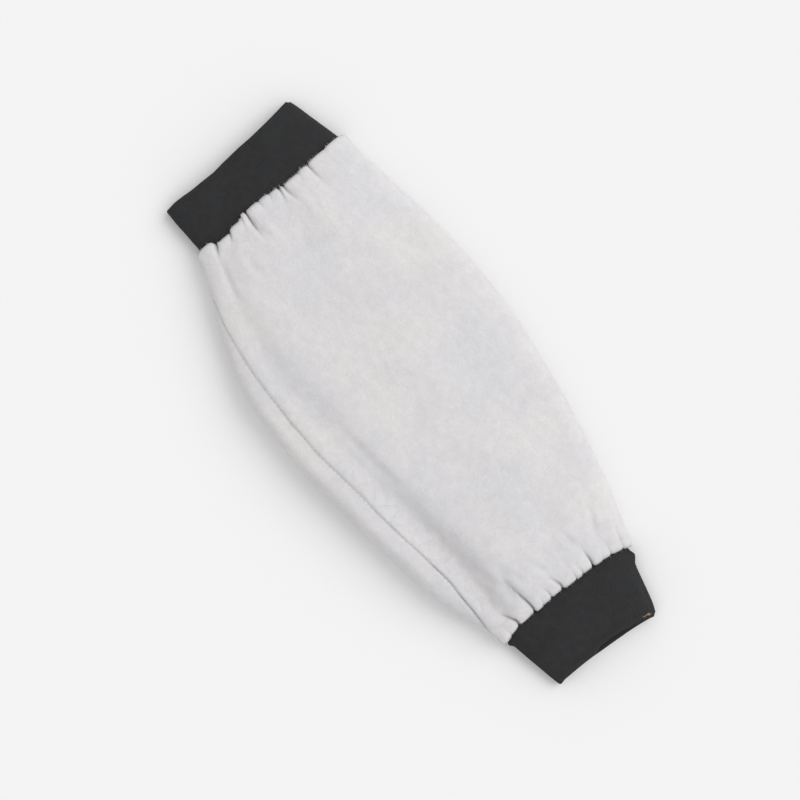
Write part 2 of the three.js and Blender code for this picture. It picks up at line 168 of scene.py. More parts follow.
# Gather creases round each end, from the side seam over the top, the far edge and the underside. at is
# a share of the way round. length is how far the crease runs into the leather and sway how far it
# wanders sideways on its way. depth is a share of the puff. lobe and hang belong to the lobe after
# the crease: the share of the puff that it stands up, and how far it hangs over the elastic.
# Lengths are in millimetres.
Gather = namedtuple("Gather", "at length depth sway lobe hang")
GATHERS = {
    "upper": [
        Gather(0.0, 9, 0.7, 0, 0.9, 3.4),
        Gather(0.055, 6, 1.0, -1.2, 0.75, -0.4),
        Gather(0.101, 5, 0.8, -1, 0.85, 1.4),
        Gather(0.15, 4, 0.5, -1, 0.95, 3.9),
        Gather(0.167, 14, 0.95, 3, 0.95, 3.6),
        Gather(0.212, 4, 0.4, 1, 0.85, 3.3),
        Gather(0.245, 4, 0.4, -1, 0.75, 2.2),
        Gather(0.275, 7, 0.7, -1, 0.7, 1.1),
        Gather(0.288, 11, 0.8, 4, 0.7, 0.9),
        Gather(0.34, 5, 0.35, -1, 0.7, 1.4),
        Gather(0.373, 11, 0.8, 1.5, 0.7, 1.8),
        Gather(0.433, 4, 0.3, -1, 0.5, 2.4),
        Gather(0.497, 8, 0.5, 0, 0.5, 1.8),
        Gather(0.538, 16, 0.9, 2, 1.0, 2.0),
        Gather(0.581, 10, 0.8, -2, 0.8, 2.3),
        Gather(0.627, 20, 1.0, 1.5, 1.0, 1.8),
        Gather(0.668, 9, 0.7, -2.5, 0.75, 2.2),
        Gather(0.706, 14, 0.9, 1, 1.0, 1.6),
        Gather(0.752, 9, 0.8, 2, 0.85, 2.4),
        Gather(0.792, 22, 1.0, -2, 0.9, 1.9),
        Gather(0.838, 9, 0.8, 1.5, 0.8, 2.2),
        Gather(0.876, 15, 0.9, -1, 1.0, 1.5),
        Gather(0.918, 10, 0.8, 2, 0.8, 2.3),
        Gather(0.961, 13, 0.9, 0, 0.9, 2.6),
    ],
    "wrist": [
        Gather(0.0, 8, 0.6, 0, 0.75, 1.2),
        Gather(0.036, 5, 0.35, -1, 0.75, 0.9),
        Gather(0.073, 13, 1.0, -7, 0.78, 1.6),
        Gather(0.137, 24, 1.0, -5, 0.85, 2.4),
        Gather(0.17, 4, 0.3, 1, 0.8, 1.8),
        Gather(0.204, 6, 0.6, -2, 0.75, 1.4),
        Gather(0.248, 8, 0.9, -4, 0.72, 2.1),
        Gather(0.3, 4, 0.4, -1, 0.72, 2.3),
        Gather(0.325, 5, 0.45, -2, 0.75, 2.0),
        Gather(0.365, 9, 0.95, -2, 0.78, 2.3),
        Gather(0.4, 4, 0.25, 1, 0.75, 1.9),
        Gather(0.43, 6, 0.45, -1, 0.75, 1.6),
        Gather(0.471, 12, 0.5, -1, 0.8, 1.7),
        Gather(0.55, 11, 0.8, 2, 0.8, 1.9),
        Gather(0.589, 22, 1.0, -2, 1.0, 2.6),
        Gather(0.634, 10, 0.8, 1.5, 0.8, 1.7),
        Gather(0.671, 16, 0.9, -2.5, 0.9, 2.4),
        Gather(0.715, 9, 0.8, 1, 0.75, 2.1),
        Gather(0.757, 28, 1.0, 2, 1.0, 1.6),
        Gather(0.795, 9, 0.8, -2, 0.8, 2.5),
        Gather(0.842, 15, 0.9, 1.5, 0.9, 1.9),
        Gather(0.883, 10, 0.8, -1, 0.8, 2.3),
        Gather(0.921, 20, 1.0, 2, 0.9, 1.8),
        Gather(0.963, 9, 0.8, 0, 0.8, 2.1),
    ],
}

# Broad shallow dents in the top: along and across in shares, reach, spread and depth in millimetres
Dent = namedtuple("Dent", "along across reach spread depth")
DENTS = [
    Dent(0.2, 0.42, 34, 13, 1.5),
    Dent(0.3, 0.2, 40, 20, 0.9),
    Dent(0.47, 0.36, 46, 20, 1.3),
    Dent(0.56, 0.2, 30, 16, 1.0),
    Dent(0.75, 0.4, 36, 14, 1.6),
    Dent(0.87, 0.29, 22, 12, 1.3),
    Dent(0.12, 0.25, 20, 12, 1.2),
]

# Short wrinkles: from and to in millimetres along the leather and across from the side seam
Wrinkle = namedtuple("Wrinkle", "x0 across0 x1 across1 width depth")
WRINKLES = [
    Wrinkle(240, 12, 249, 5, 1.2, 0.6),
    Wrinkle(235, 17, 243, 9, 1.4, 0.4),
    Wrinkle(12, 12, 34, 15, 2.0, 0.7),
    Wrinkle(298, 90, 284, 98, 2.0, 0.8),
    Wrinkle(301, 24, 284, 27, 3.2, 1.1),
    Wrinkle(297, 9, 288, 10, 2.4, 0.8),
    Wrinkle(300, 51, 291, 47, 2.0, 0.6),
    Wrinkle(300, 76, 288, 74, 2.2, 0.6),
    Wrinkle(288, 22, 270, 18, 2.6, 0.6),
    Wrinkle(296, 36, 278, 30, 2.4, 0.5),
    Wrinkle(20, 30, 33, 36, 2.2, 0.5),
    Wrinkle(10, 44, 24, 52, 1.8, 0.5),
    Wrinkle(14, 84, 26, 88, 1.8, 0.4),
    Wrinkle(150, 21, 190, 22, 2.4, 0.45),
    Wrinkle(205, 10, 215, 3, 1.0, 0.55),
    Wrinkle(172, 11, 182, 6, 1.1, 0.5),
    Wrinkle(188, 13, 196, 8, 1.0, 0.45),
    Wrinkle(225, 15, 231, 8, 0.9, 0.5),
    Wrinkle(256, -4, 262, -9, 0.9, 0.4),
]

# How each band's mouth wanders out from its straight line, by share of the way round, and how far the
# wrist band's top layer stands back from the lower one, in millimetres
MOUTH_WANDER = {
    "upper": ((0.0, 0.7), (0.02, 0.8), (0.045, 1.3), (0.075, 0.9), (0.11, 0.1), (0.16, -0.2),
              (0.19, -0.5), (0.23, 0.2), (0.33, 0.6), (0.39, 0.9), (0.44, 1.5), (0.48, 2.4),
              (0.52, 2.4), (0.6, 0.5), (0.75, -0.2), (0.9, 0.4), (1.0, 0.7)),
    "wrist": ((0.0, 0.3), (0.06, 0.4), (0.16, 0.0), (0.22, -0.8), (0.3, -0.3), (0.4, 0.1), (0.5, 0.3),
              (0.65, 0.2), (0.8, -0.2), (1.0, 0.3)),
}
TOP_LAYER_BACK = ((0.0, 0.0), (0.2, 0.0), (0.23, 2.0), (0.28, 3.0), (0.33, 2.5), (0.41, 1.5),
                  (0.455, 0.9), (0.485, 0.0), (1.0, 0.0))
# Fine waves of a mouth, its rounded corners, and how far from the mouth these corners and the step of
# the wrist band's top layer can be seen
MOUTH_WAVE = 0.15 * MM
MOUTH_WAVE_SIZE = 16 * MM
CORNER_RADIUS = {"upper": 1.5 * MM, "wrist": 2.2 * MM}
CORNER_FADE = 5 * MM
TOP_LAYER_FADE = 9 * MM

# Puckers of a band at its seam, and its sag between seam and mouth: depth and reach
PUCKER_DEPTH = 0.9 * MM
PUCKER_REACH = 7 * MM
SAG_DEPTH = 0.5 * MM
SAG_SIZE = 38 * MM
MOUTH_REACH = 14 * MM

# Small ears of the elastic just outside the wrist seam: side, distance from the seam, reach and
# spread in millimetres. They start at the folded edge and are pressed flat past the seam.
Ear = namedtuple("Ear", "side out reach spread")
WRIST_EARS = [Ear(1, 7.5, 2.4, 3.2), Ear(-1, 3.6, 1.8, 2.0)]
EAR_DEPTH = 6 * MM
EAR_PRESSED = 0.7
EAR_PRESSED_PAST = 3 * MM
# The ridge of the wrist band's joint lies this far in from its far edge
JOINT_INSET = 3.4 * MM
JOINT_RIDGE = 0.4 * MM
JOINT_WIDTH = 1.1 * MM

# Loose fibres at each cut end: their number, the longest, the strip and the depth that they start in,
# the scatter of their directions, the shape and scale of the draw of their lengths in millimetres,
# the fuzziest stretch of the upper end and how much longer they are in it, and their half-widths in
# millimetres with the share of each
FIBRES_PER_END = 2600
LONGEST_FIBRE = 2.8 * MM
FIBRE_ROOM = 0.8 * MM
FIBRE_DEPTH = 0.3 * MM
FIBRE_SCATTER = 0.45
FIBRE_GAMMA = (2.2, 0.38)
FUZZY_STRETCH = (0.2, 0.25, 0.37, 0.43)
FUZZIER = 0.6
FIBRE_WIDTHS = (0.05, 0.07, 0.1, 0.16)
FIBRE_SHARES = (0.35, 0.35, 0.2, 0.1)

# Thread ends at the corner of the wrist band's mouth: how many, how many places are tried for them,
# and the points of each. The ranges of the draws are in millimetres: in from the mouth and from the
# far edge, length, bend, radius and rise off the elastic. The turn is in radians.
THREAD_ENDS = 9
THREAD_TRIES = 400
THREAD_POINTS = 7
THREAD_FROM_MOUTH = (1.6, 4.6)
THREAD_FROM_EDGE = (-0.5, 5.5)
THREAD_TURN = (-2.4, 0.6)
THREAD_LENGTH = (1.4, 3.0)
THREAD_BEND = (-0.5, 0.5)
THREAD_RADIUS = (0.11, 0.19)
THREAD_RISE = (0, 0.25)

# Colours of scuffs, dust and lint, which no part is wholly made in
SCUFFED_SUEDE = (0.5, 0.5, 0.505, 1)
SUEDE_LINT = (0.42, 0.41, 0.40, 1)
ELASTIC_LINT = (0.2, 0.2, 0.2, 1)
TABLE_CLOUD = (0.7, 0.7, 0.71, 1)

# Over this stretch of the wrist band, and a little all over, the elastic is lighter and its painted
# shade between the ribs is stronger. Its edges at the mouth and in the seam are rounded by these
# lengths.
LEAST_WEAVE_CONTRAST = 0.12
WEAVE_CONTRAST_STRETCH = (0.19, 0.3, 0.6, 0.8)
BAND_EDGE_ROUND = (0.35 * MM, 0.2 * MM)

# The leather's cut edge stands out by this share of its wall, and the edge and the inside get these
# shares of the painted fold shade, darker than the face
EDGE_ROUND = 0.3
EDGE_GREY = 0.25
LINING_GREY = 0.3

# The table's half-width, and how far it lies under the sleeve so that the two don't flicker
TABLE_HALF = 3.0
TABLE_DROP = 0.2 * MM

# Mesh steps
COLUMNS_PER_GATHER = 12
CROWDING = 0.6
FIRST_STEP = 0.35 * MM
STEP_GROWTH = 1.075
LONGEST_STEP = 2.7 * MM
BAND_COLUMNS = 8


def length(name, description, millimetres, low=0.0):
    """A length property, given in millimetres and held in metres."""
    return FloatProperty(name=name, description=description, default=millimetres * MM,
                         min=low * MM, unit="LENGTH", precision=4)


def share(name, description, value, low=-1.0):
    """A property that is a share or a slope."""
    return FloatProperty(name=name, description=description, default=value, min=low, max=1.0)


def colour(name, description, value):
    """A colour property."""
    return FloatVectorProperty(name=name, description=description, default=value, size=4,
                               subtype="COLOR", min=0.0, max=1.0)


class LeatherSizes(bpy.types.PropertyGroup):
    """Sizes of the leather tube."""

    length: length("Length", "From the upper seam to the wrist seam", 315)
    width: length("Width", "Width lying flat at the widest place", 169)
    shift: length("Shift", "How far the widest place lies off the middle", -1.2, -50)
    height: length("Height", "Height lying flat at the highest place", 30)
    wall: length("Wall", "Thickness of the split leather", 1.4)
    seam_inset: length("Seam Inset", "How far the side seam lies in from the outline", 14)
    groove_depth: length("Seam Groove", "Depth of the sewn groove", 0.9)
    allowance_width: length("Allowance Width", "Width of the seam allowance", 13)
    allowance_rise: length("Allowance Rise", "How far the allowance lifts the leather", 0.8)
    trough_depth: length("Trough", "Depth of the soft trough beside the allowance", 5)
    ledge: length("Ledge", "How far the strip beyond the side seam stands up", 1.9)
    gather_puff: length("Gather Puff", "How far the lobes between the gathers stand up", 3.4)


class UpperBandSizes(bpy.types.PropertyGroup):
    """Sizes of the elastic band at the upper arm."""

    length: length("Length", "From the seam to the mouth", 38.7)
    seam_width: length("Seam Width", "Flat width at the seam", 116)
    mouth_width: length("Mouth Width", "Flat width at the mouth", 105.8)
    seam_top: length("Seam Height", "Height of the top layer at the seam", 16.5)
    mouth_top: length("Mouth Height", "Height of the top layer at the mouth", 14)
    seam_shift: length("Seam Shift", "How far the seam's middle lies across", 5.1, -50)
    mouth_shift: length("Mouth Shift", "How far the mouth's middle lies across", -2.2, -50)
    seam_lean: share("Seam Lean", "Slope of the seam across the sleeve", -0.05)
    mouth_lean: share("Mouth Lean", "Slope of the mouth across the sleeve", -0.078)
    mouth_recess: length("Mouth Recess", "How far the top layer stands back at the mouth", 0.8)
    seam_bow: length("Seam Bow", "How far the seam's middle is drawn in from its corners", 0)
    mouth_bow: length("Mouth Bow", "How far the mouth's middle is drawn in from its corners", 0.5)


class WristBandSizes(bpy.types.PropertyGroup):
    """Sizes of the elastic band at the wrist."""

    length: length("Length", "From the seam to the mouth", 46)
    seam_width: length("Seam Width", "Flat width at the seam", 98)
    mouth_width: length("Mouth Width", "Flat width at the mouth", 77.6)
    seam_top: length("Seam Height", "Height of the top layer at the seam", 16.5)
    mouth_top: length("Mouth Height", "Height of the top layer at the mouth", 14)
    seam_shift: length("Seam Shift", "How far the seam's middle lies across", 2, -50)
    mouth_shift: length("Mouth Shift", "How far the mouth's middle lies across", 1.5, -50)
    seam_lean: share("Seam Lean", "Slope of the seam across the sleeve", -0.02)
    mouth_lean: share("Mouth Lean", "Slope of the mouth across the sleeve", 0.028)
    mouth_recess: length("Mouth Recess", "How far the top layer stands back at the mouth", 1.6)
    seam_bow: length("Seam Bow", "How far the seam's middle is drawn in from its corners", 6)
    mouth_bow: length("Mouth Bow", "How far the mouth's middle is drawn in from its corners", 1.8)


class ElasticSizes(bpy.types.PropertyGroup):
    """Sizes of the ribbed elastic of both bands."""

    wall: length("Wall", "Thickness of the elastic", 1.6)
    rib_pitch: length("Rib Pitch", "From one rib to the next", 1.6, 0.5)
    rib_height: length("Rib Height", "Height of a rib over its groove", 0.15)
    selvedge: length("Selvedge", "Width of the plain woven edge", 2.2)


class FinishColours(bpy.types.PropertyGroup):
    """Colours of the leather, the elastic and the threads."""

    suede_warm: colour("Suede Warm", "Warmer patches of the leather", (0.698, 0.678, 0.675, 1))
    suede_cool: colour("Suede Cool", "Cooler patches of the leather", (0.664, 0.653, 0.669, 1))
    # Painted shade: the colour that folds, the seam groove, the trough, the cut edges and the inside are
    # darkened towards
    suede_fold_shade: colour("Suede Fold Shade", "Leather deep in a fold or the seam", (0.2, 0.195, 0.19, 1))
    elastic_black: colour("Elastic", "Ribs of the elastic", (0.0262, 0.0266, 0.028, 1))
    # Painted shade between the ribs
    elastic_groove_shade: colour("Elastic Groove", "Between the ribs", (0.016, 0.016, 0.017, 1))
    # Lighter ribs over a stretch of the wrist band
    elastic_lighter: colour("Lighter Elastic", "Where the elastic's weave shows", (0.052, 0.052, 0.052, 1))
    thread_grey: colour("Grey Thread", "Thread of the side seam", (0.46, 0.46, 0.45, 1))
    thread_brown: colour("Brown Thread", "Singed thread ends at the wrist", (0.45, 0.27, 0.18, 1))
    floor: colour("Floor", "The pale table", (0.86, 0.86, 0.863, 1))


class StageSizes(bpy.types.PropertyGroup):
    """Camera and light."""

    camera_height: length("Camera Height", "Height of the camera over the table", 1500)
    focal_length: FloatProperty(name="Focal Length", description="Lens of the camera",
                                default=104.8, unit="CAMERA")
    turn: FloatProperty(name="Turn", description="How far the picture is turned from the sleeve",
                        default=math.radians(52.84), subtype="ANGLE")
    aside: length("Aside", "How far the sleeve stands right of the picture's middle", 10.15, -500)
    below: length("Below", "How far the sleeve stands below the picture's middle", 1.7, -500)
    key_strength: FloatProperty(name="Key Light", description="Strength of the main soft light",
                                default=1.25, min=0.0)
    key_height: FloatProperty(name="Key Height", description="How high the main light stands",
                              default=math.radians(45), subtype="ANGLE")
    key_spread: FloatProperty(name="Key Spread", description="How broad the main light is",
                              default=math.radians(50), subtype="ANGLE")
    sky: FloatProperty(name="Sky", description="Strength of the light from all round",
                       default=0.77, min=0.0)
    seed: IntProperty(name="Seed", description="Start of the random draws", default=7)


def mix(a, b, amount):
    """From a at 0 to b at 1."""
    return a + (b - a) * amount


def smooth_step(low, high, value):
    """From 0 at low to 1 at high, level at both."""
    t = np.clip((value - low) / (high - low), 0, 1)
    return t * t * (3 - 2 * t)


def bell(distance, width):
    """1 at no distance, falling away softly over the width."""
    return np.exp(-((distance / width) ** 2))


def within(start, full, still_full, end, value):
    """0 outside the stretch from start to end, 1 between full and still_full."""
    return smooth_step(start, full, value) * smooth_step(end, still_full, value)


def unit(vectors):
    """The directions of rows of vectors."""
    return vectors / np.linalg.norm(vectors, axis=1)[:, None]


def column(table, name):
    """One named column of a table."""
    return np.array([getattr(row, name) for row in table], float)


def gather_places(end):
    """Where an end's creases lie, and how wide the lobe after each is, in shares of the way round."""
    starts = column(GATHERS[end], "at")
    return starts, np.diff(np.append(starts, 1.0))


def outline_at(name, along):
    """One column of OUTLINE at a share of the leather's length, on a smooth curve."""
    places, values = column(OUTLINE, "along"), column(OUTLINE, name)
    last = len(places) - 1
    i = int(np.clip(np.searchsorted(places, along, side="right") - 1, 0, last - 1))
    before, after = max(i - 1, 0), min(i + 2, last)
    step = places[i + 1] - places[i]
    t = (along - places[i]) / step
    slope0 = (values[i + 1] - values[before]) / (places[i + 1] - places[before]) * step
    slope1 = (values[after] - values[i]) / (places[after] - places[i]) * step
    return (
        (2 * t**3 - 3 * t**2 + 1) * values[i]
        + (t**3 - 2 * t**2 + t) * slope0
        + (3 * t**2 - 2 * t**3) * values[i + 1]
        + (t**3 - t**2) * slope1
    )


def waves(points, scale, seed, count=28):
    """Smooth random heights of about -1 to 1 at points, with bumps of about the given scale."""
    draw = np.random.default_rng(seed)
    directions = unit(draw.normal(size=(count, 3)))
    turns = directions * (2 * math.pi / (scale * draw.uniform(0.7, 1.6, count)))[:, None]
    phases = draw.uniform(0, 2 * math.pi, count)
    return np.sin(points @ turns.T + phases).sum(-1) / math.sqrt(count * 2)


Section = namedtuple("Section", "right left top bottom lean recess bow inset")
Rows = namedtuple("Rows", "x lean round around y z out_y out_z middle")


def from_side_seam(rows):
    """Distance round the sleeve from the side seam, over the top to the far edge and, less than 0,
    under it."""
    return np.where(rows.round > 0.5, rows.round - 1, rows.round) * rows.around


def flat_span(rows):
    """Middle and half-width of each row as it lies flat."""
    low, high = rows.y.min(axis=1, keepdims=True), rows.y.max(axis=1, keepdims=True)
    return (high + low) / 2, (high - low) / 2


class SleeveForm:
    """The form of the whole sleeve: a base surface that is the outside of the elastic and the
    lining side of the leather, and the relief of the leather over it. x is 0 at the upper seam."""

    def __init__(self, scene):
        self.leather = scene.sleeve_leather
        self.upper = scene.sleeve_upper_band
        self.wrist = scene.sleeve_wrist_band
        self.elastic = scene.sleeve_elastic
        self.base_offset = SEAM_CLEARANCE + self.leather.wall
        self.seed = scene.sleeve_stage.seed
        self.upper_shares = self.column_shares("upper")
        self.wrist_shares = self.column_shares("wrist")
        self.origin = self.find_origin()

    def column_shares(self, end, count=COLUMNS_PER_GATHER, crowding=CROWDING):
        """Share of the way round of each column of points, crowded towards the creases."""
        steps = np.arange(count) / count
        steps = mix(steps, 0.5 - 0.5 * np.cos(math.pi * steps), crowding)
        starts, widths = gather_places(end)
        return (starts[:, None] + widths[:, None] * steps).ravel()

    def find_origin(self):
        """Where this form's x and y lie in the frame: the upper band's outer corner matches."""
        low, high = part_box("upper_band")
        mouth = self.rows(np.array([-self.upper.length]), 0 * self.upper_shares, self.upper_shares)
        seam = self.rows(np.array([0.0]), 0 * self.upper_shares, self.upper_shares)
        across = np.concatenate([mouth.y, seam.y])
        x = low.x - (mouth.x + mouth.lean * mouth.y).min()
        y = (low.y + high.y) / 2 - (across.min() + across.max()) / 2
        return Vector((x, y, 0))

    def band_section(self, band, to_mouth, inward=1):
        """Size of the base surface across a band. inward is 1 where the leather lies towards +X."""
        half = mix(band.seam_width, band.mouth_width, to_mouth) / 2
        shift = mix(band.seam_shift, band.mouth_shift, to_mouth)
        return Section(
            right=half + shift,
            left=half - shift,
            top=mix(band.seam_top, band.mouth_top, to_mouth),
            bottom=mix(self.base_offset + SEAM_LIFT, 0, to_mouth),
            lean=mix(band.seam_lean, band.mouth_lean, to_mouth),
            recess=band.mouth_recess * to_mouth**2,
            bow=inward * mix(band.seam_bow, band.mouth_bow, to_mouth),
            inset=0.0,
        )

    def section(self, x):
        """Size of the base surface at x."""
        long = self.leather.length
        if x < 0:
            return self.band_section(self.upper, -x / self.upper.length)
        if x > long:
            return self.band_section(self.wrist, (x - long) / self.wrist.length, -1)
        along = x / long
        upper, wrist = self.band_section(self.upper, 0), self.band_section(self.wrist, 0)
        full_half = self.leather.width / 2 - self.base_offset

        def grown(name, full, column_name):
            between = mix(getattr(upper, name), getattr(wrist, name), along)
            return mix(between, full, outline_at(column_name, along))

        from_end = min(x, long - x)
        return Section(
            right=grown("right", full_half + self.leather.shift, "right"),
            left=grown("left", full_half - self.leather.shift, "left"),
            top=grown("top", self.leather.height - self.base_offset, "rise"),
            bottom=mix(self.base_offset + SEAM_LIFT, self.base_offset,
                       smooth_step(0, PUFF_LENGTH, from_end)),
            lean=mix(upper.lean, wrist.lean, smooth_step(0, 1, along)),
            recess=0.0,
            bow=upper.bow * (1 - smooth_step(0, BOW_FADE, x))
            - wrist.bow * (1 - smooth_step(0, BOW_FADE, long - x)),
            inset=self.leather.seam_inset * outline_at("inset", along),
        )

    def rows(self, xs, lift, shares, shares_at_wrist=None):
        """Base points of rows at xs, each crossed by columns at shares of the way round. The first
        half of the way goes over the top from the side seam to the far edge, the second under."""
        shares_at_wrist = shares if shares_at_wrist is None else shares_at_wrist
        turn = math.pi - 2 * math.pi * np.arange(TRACE_POINTS + 1) / TRACE_POINTS
        rise = np.sin(turn)
        flat_from = math.sqrt(1 - BELLY_FLAT**2)
        made = []
        for x in xs:
            size = self.section(x)
            half, middle = (size.right + size.left) / 2, (size.right - size.left) / 2
            widest = mix(size.bottom, size.top, WIDEST_HEIGHT)
            q = np.minimum(1, np.abs(rise) / flat_from)
            over = widest + (size.top - widest) * np.maximum(rise, 0) ** CROWN_ROUND
            under = size.bottom + (widest - size.bottom) * (1 - np.sqrt(q * (2 - q)))
            y, z = middle + half * np.cos(turn), np.where(rise >= 0, over, under)
            run = np.append(0, np.cumsum(np.hypot(np.diff(y), np.diff(z))))
            total, far = run[-1], run[TRACE_POINTS // 2]
            top = slice(0, TRACE_POINTS // 2)
            seam = np.interp(y[0] + size.inset, y[top], run[top]) if size.inset > 0 else 0.0
            along = np.clip(x / self.leather.length, 0, 1)
            way = mix(shares, shares_at_wrist, along)
            around = 2 * np.where(way < 0.5, far - seam, total - far + seam)
            place = far + (way - 0.5) * around
            reach = total / TRACE_POINTS * 4

            def at(distance):
                distance = np.mod(distance, total)
                return np.interp(distance, run, y), np.interp(distance, run, z)

            (py, pz), (ay, az), (by, bz) = at(place), at(place + reach), at(place - reach)
            span = np.hypot(ay - by, az - bz)
            recess = size.recess * np.maximum(0, pz / size.top) * np.sign(x)
            bow = size.bow * np.maximum(0, 1 - ((py - middle) / half) ** BOW_SQUARENESS)
            made.append((x - recess + bow, np.full_like(py, size.lean), way, around, py, pz,
                         -(az - bz) / span, (ay - by) / span, np.full_like(py, widest)))
        return Rows(*(np.array(values) for values in zip(*made)))

    def points(self, rows, offset, floor=0.0, push=0.0, squeeze=None):
        """Points in the frame at an offset from the base surface, no lower than floor."""
        y = rows.y + rows.out_y * offset
        z = rows.z + rows.out_z * offset
        if squeeze is not None:
            y, z = squeeze(y, z)
        z = np.maximum(floor, z)
        x = rows.x + push + rows.lean * y
        return np.stack([x + self.origin.x, y + self.origin.y, z], axis=-1)

    def crease_depth(self, end, rows, from_end):
        """From 0 on a lobe to 1 in a gather crease of one end, and how sharply it is cut there."""
        deepest = np.zeros_like(rows.round)
        slit = np.zeros_like(rows.round)
        width = GATHER_WIDTH + GATHER_SPREAD * from_end
        gaps = gather_places(end)[1]
        by_arc = 1 - smooth_step(1 * MM, 6 * MM, from_end)
        for i, gather in enumerate(GATHERS[end]):
            reach = gather.length * MM
            sway = gather.sway * MM * smooth_step(0, 1, from_end / (1.6 * reach))
            offset = np.mod(rows.round - gather.at - sway / rows.around + 0.5, 1) - 0.5
            distance = np.abs(offset) * rows.around
            lobe = np.where(offset > 0, gaps[i], gaps[i - 1])
            across = np.minimum(1, np.abs(offset) / lobe)
            arc = 1 - np.sqrt(np.maximum(0, 1 - (1 - 2 * np.minimum(across, 0.5)) ** 2))
            groove = mix(np.exp(-((distance / width) ** 1.4)), arc, by_arc)
            fade = np.exp(-((from_end / reach) ** 1.6))
            deepest = np.maximum(deepest, gather.depth * groove * fade)
            short = np.exp(-((from_end / (0.9 * reach)) ** 2))
            slit = np.maximum(slit, gather.depth**2 * bell(distance, SLIT_WIDTH) * short)
        return deepest, slit

    def lobe_value(self, end, rows, name):
        """A lobe's own value from its row of the table, gliding from lobe to lobe."""
        starts, gaps = gather_places(end)
        middles = starts + gaps / 2
        edges = np.stack([mix(starts, middles, 0.45), mix(middles, starts + gaps, 0.55)], axis=1)
        edges = edges.ravel()
        return np.interp(rows.round, edges, np.repeat(column(GATHERS[end], name), 2), period=1)

    def wrinkle_relief(self, rows, x):
        """Short pinched wrinkles, each a groove between two points."""
        height = np.zeros_like(rows.round)
        across = from_side_seam(rows)
        for w in WRINKLES:
            start = np.array([w.x0, w.across0]) * MM
            run = np.array([w.x1, w.across1]) * MM - start
            size = np.hypot(*run)
            forward = ((x - start[0]) * run[0] + (across - start[1]) * run[1]) / size
            aside = ((across - start[1]) * run[0] - (x - start[0]) * run[1]) / size
            depth = w.depth * MM * within(-0.35, 0.25, 0.75, 1.35, forward / size)
            width = w.width * MM
            height -= depth * bell(aside, width)
            height += 0.45 * depth * bell(np.abs(aside) - 2 * width, width)
        return height

    def gather_relief(self, rows, spots, from_ends):
        """Height of the lobes between the gathers, and the painted shade in the creases there, 0 to 1.
        """
        height, folds = 0.0, 0.0
        for number, (end, distance) in enumerate(from_ends.items()):
            rise = np.sqrt(1 - (1 - np.minimum(1, distance / PUFF_RISE)) ** 2)
            fade = np.exp(-((distance / PUFF_LENGTH) ** 1.4))
            depth, slit = self.crease_depth(end, rows, distance)
            uneven = 1 + LOBE_UNEVEN * waves(spots, LOBE_SIZE, self.seed + number)
            lobe = mix(self.lobe_value(end, rows, "lobe"), PLAIN_LOBE,
                       smooth_step(0, LOBE_SIZE, distance))
            puff = self.leather.gather_puff * uneven * lobe
            past_lap = smooth_step(0.5 * SEAM_LAP, 2.5 * SEAM_LAP, distance)
            slit_depth = mix(*SLIT_DEPTH, past_lap)
            height = height + rise * (puff * (fade - 0.9 * depth) - slit * slit_depth)
            # Painted shade in the slits and the deepest creases
            folds = np.maximum(folds, np.maximum(slit, 0.4 * depth**4))
        return height, folds

    def seam_relief(self, x, along, spots, from_seam, past_lap):
        """Height of the leather round the side seam, and the painted shade there, 0 to 1: in the seam
        groove and along the trough beside the allowance.
        """
        leather = self.leather
        pull = 1 + STITCH_PULL * np.sin(x / STITCH_PITCH * 2 * math.pi)
        opens = GROOVE_SHARES[1] * smooth_step(*GROOVE_OPENS, along)
        uneven = GROOVE_UNEVEN * waves(spots, GROOVE_UNEVEN_SIZE, 5)
        stitched = pull * (GROOVE_SHARES[0] + opens + uneven)
        line = np.stack([x, 0 * x, 0 * x], axis=-1)
        wander = SEAM_WANDER * waves(line, SEAM_WANDER_SIZE, self.seed + 8)
        from_seam = from_seam + wander * smooth_step(0.03, 0.15, along) * bell(from_seam, 8 * MM)

        fall = [share_of * leather.allowance_width for share_of in ALLOWANCE_FALL]
        allowance = smooth_step(0, 2 * MM, from_seam) * (1 - smooth_step(*fall, from_seam))
        allowance = allowance * mix(0.3, 1, smooth_step(0.04, 0.22, along))
        trough_at = np.interp(along, column(OUTLINE, "along"), column(OUTLINE, "trough_at"))
        past_trough = from_seam - leather.allowance_width * trough_at
        change = smooth_step(*TROUGH_CHANGES, along)
        width = np.where(past_trough < 0, mix(*TROUGH_NEAR, change), mix(*TROUGH_FAR, change))
        trough = np.array([outline_at("trough", a) for a in along[:, 0]])[:, None]
        height = (
            -leather.groove_depth * stitched * bell(from_seam, GROOVE_WIDTH)
            + leather.allowance_rise * allowance
            - leather.trough_depth * trough * bell(past_trough, width)
            + leather.ledge * smooth_step(0.12, 0.3, along) * bell(from_seam - LEDGE_AT, LEDGE_WIDTH)
        )

        # Painted shade: pressed is the darkening along the trough beside the allowance, groove the
        # darkening in the seam groove
        change = smooth_step(*TROUGH_SHADE_CHANGES, along)
        pressed = bell(from_seam - TROUGH_SHADE_AT, mix(*TROUGH_SHADE_WIDTH, change))
        pressed = mix(*TROUGH_SHADE_STRENGTH, change) * pressed * within(0.2, 0.35, 0.93, 1.0, along)
        groove = 0.42 * stitched * bell(from_seam, 0.75 * GROOVE_WIDTH) * past_lap
        return height, np.maximum(groove, pressed)

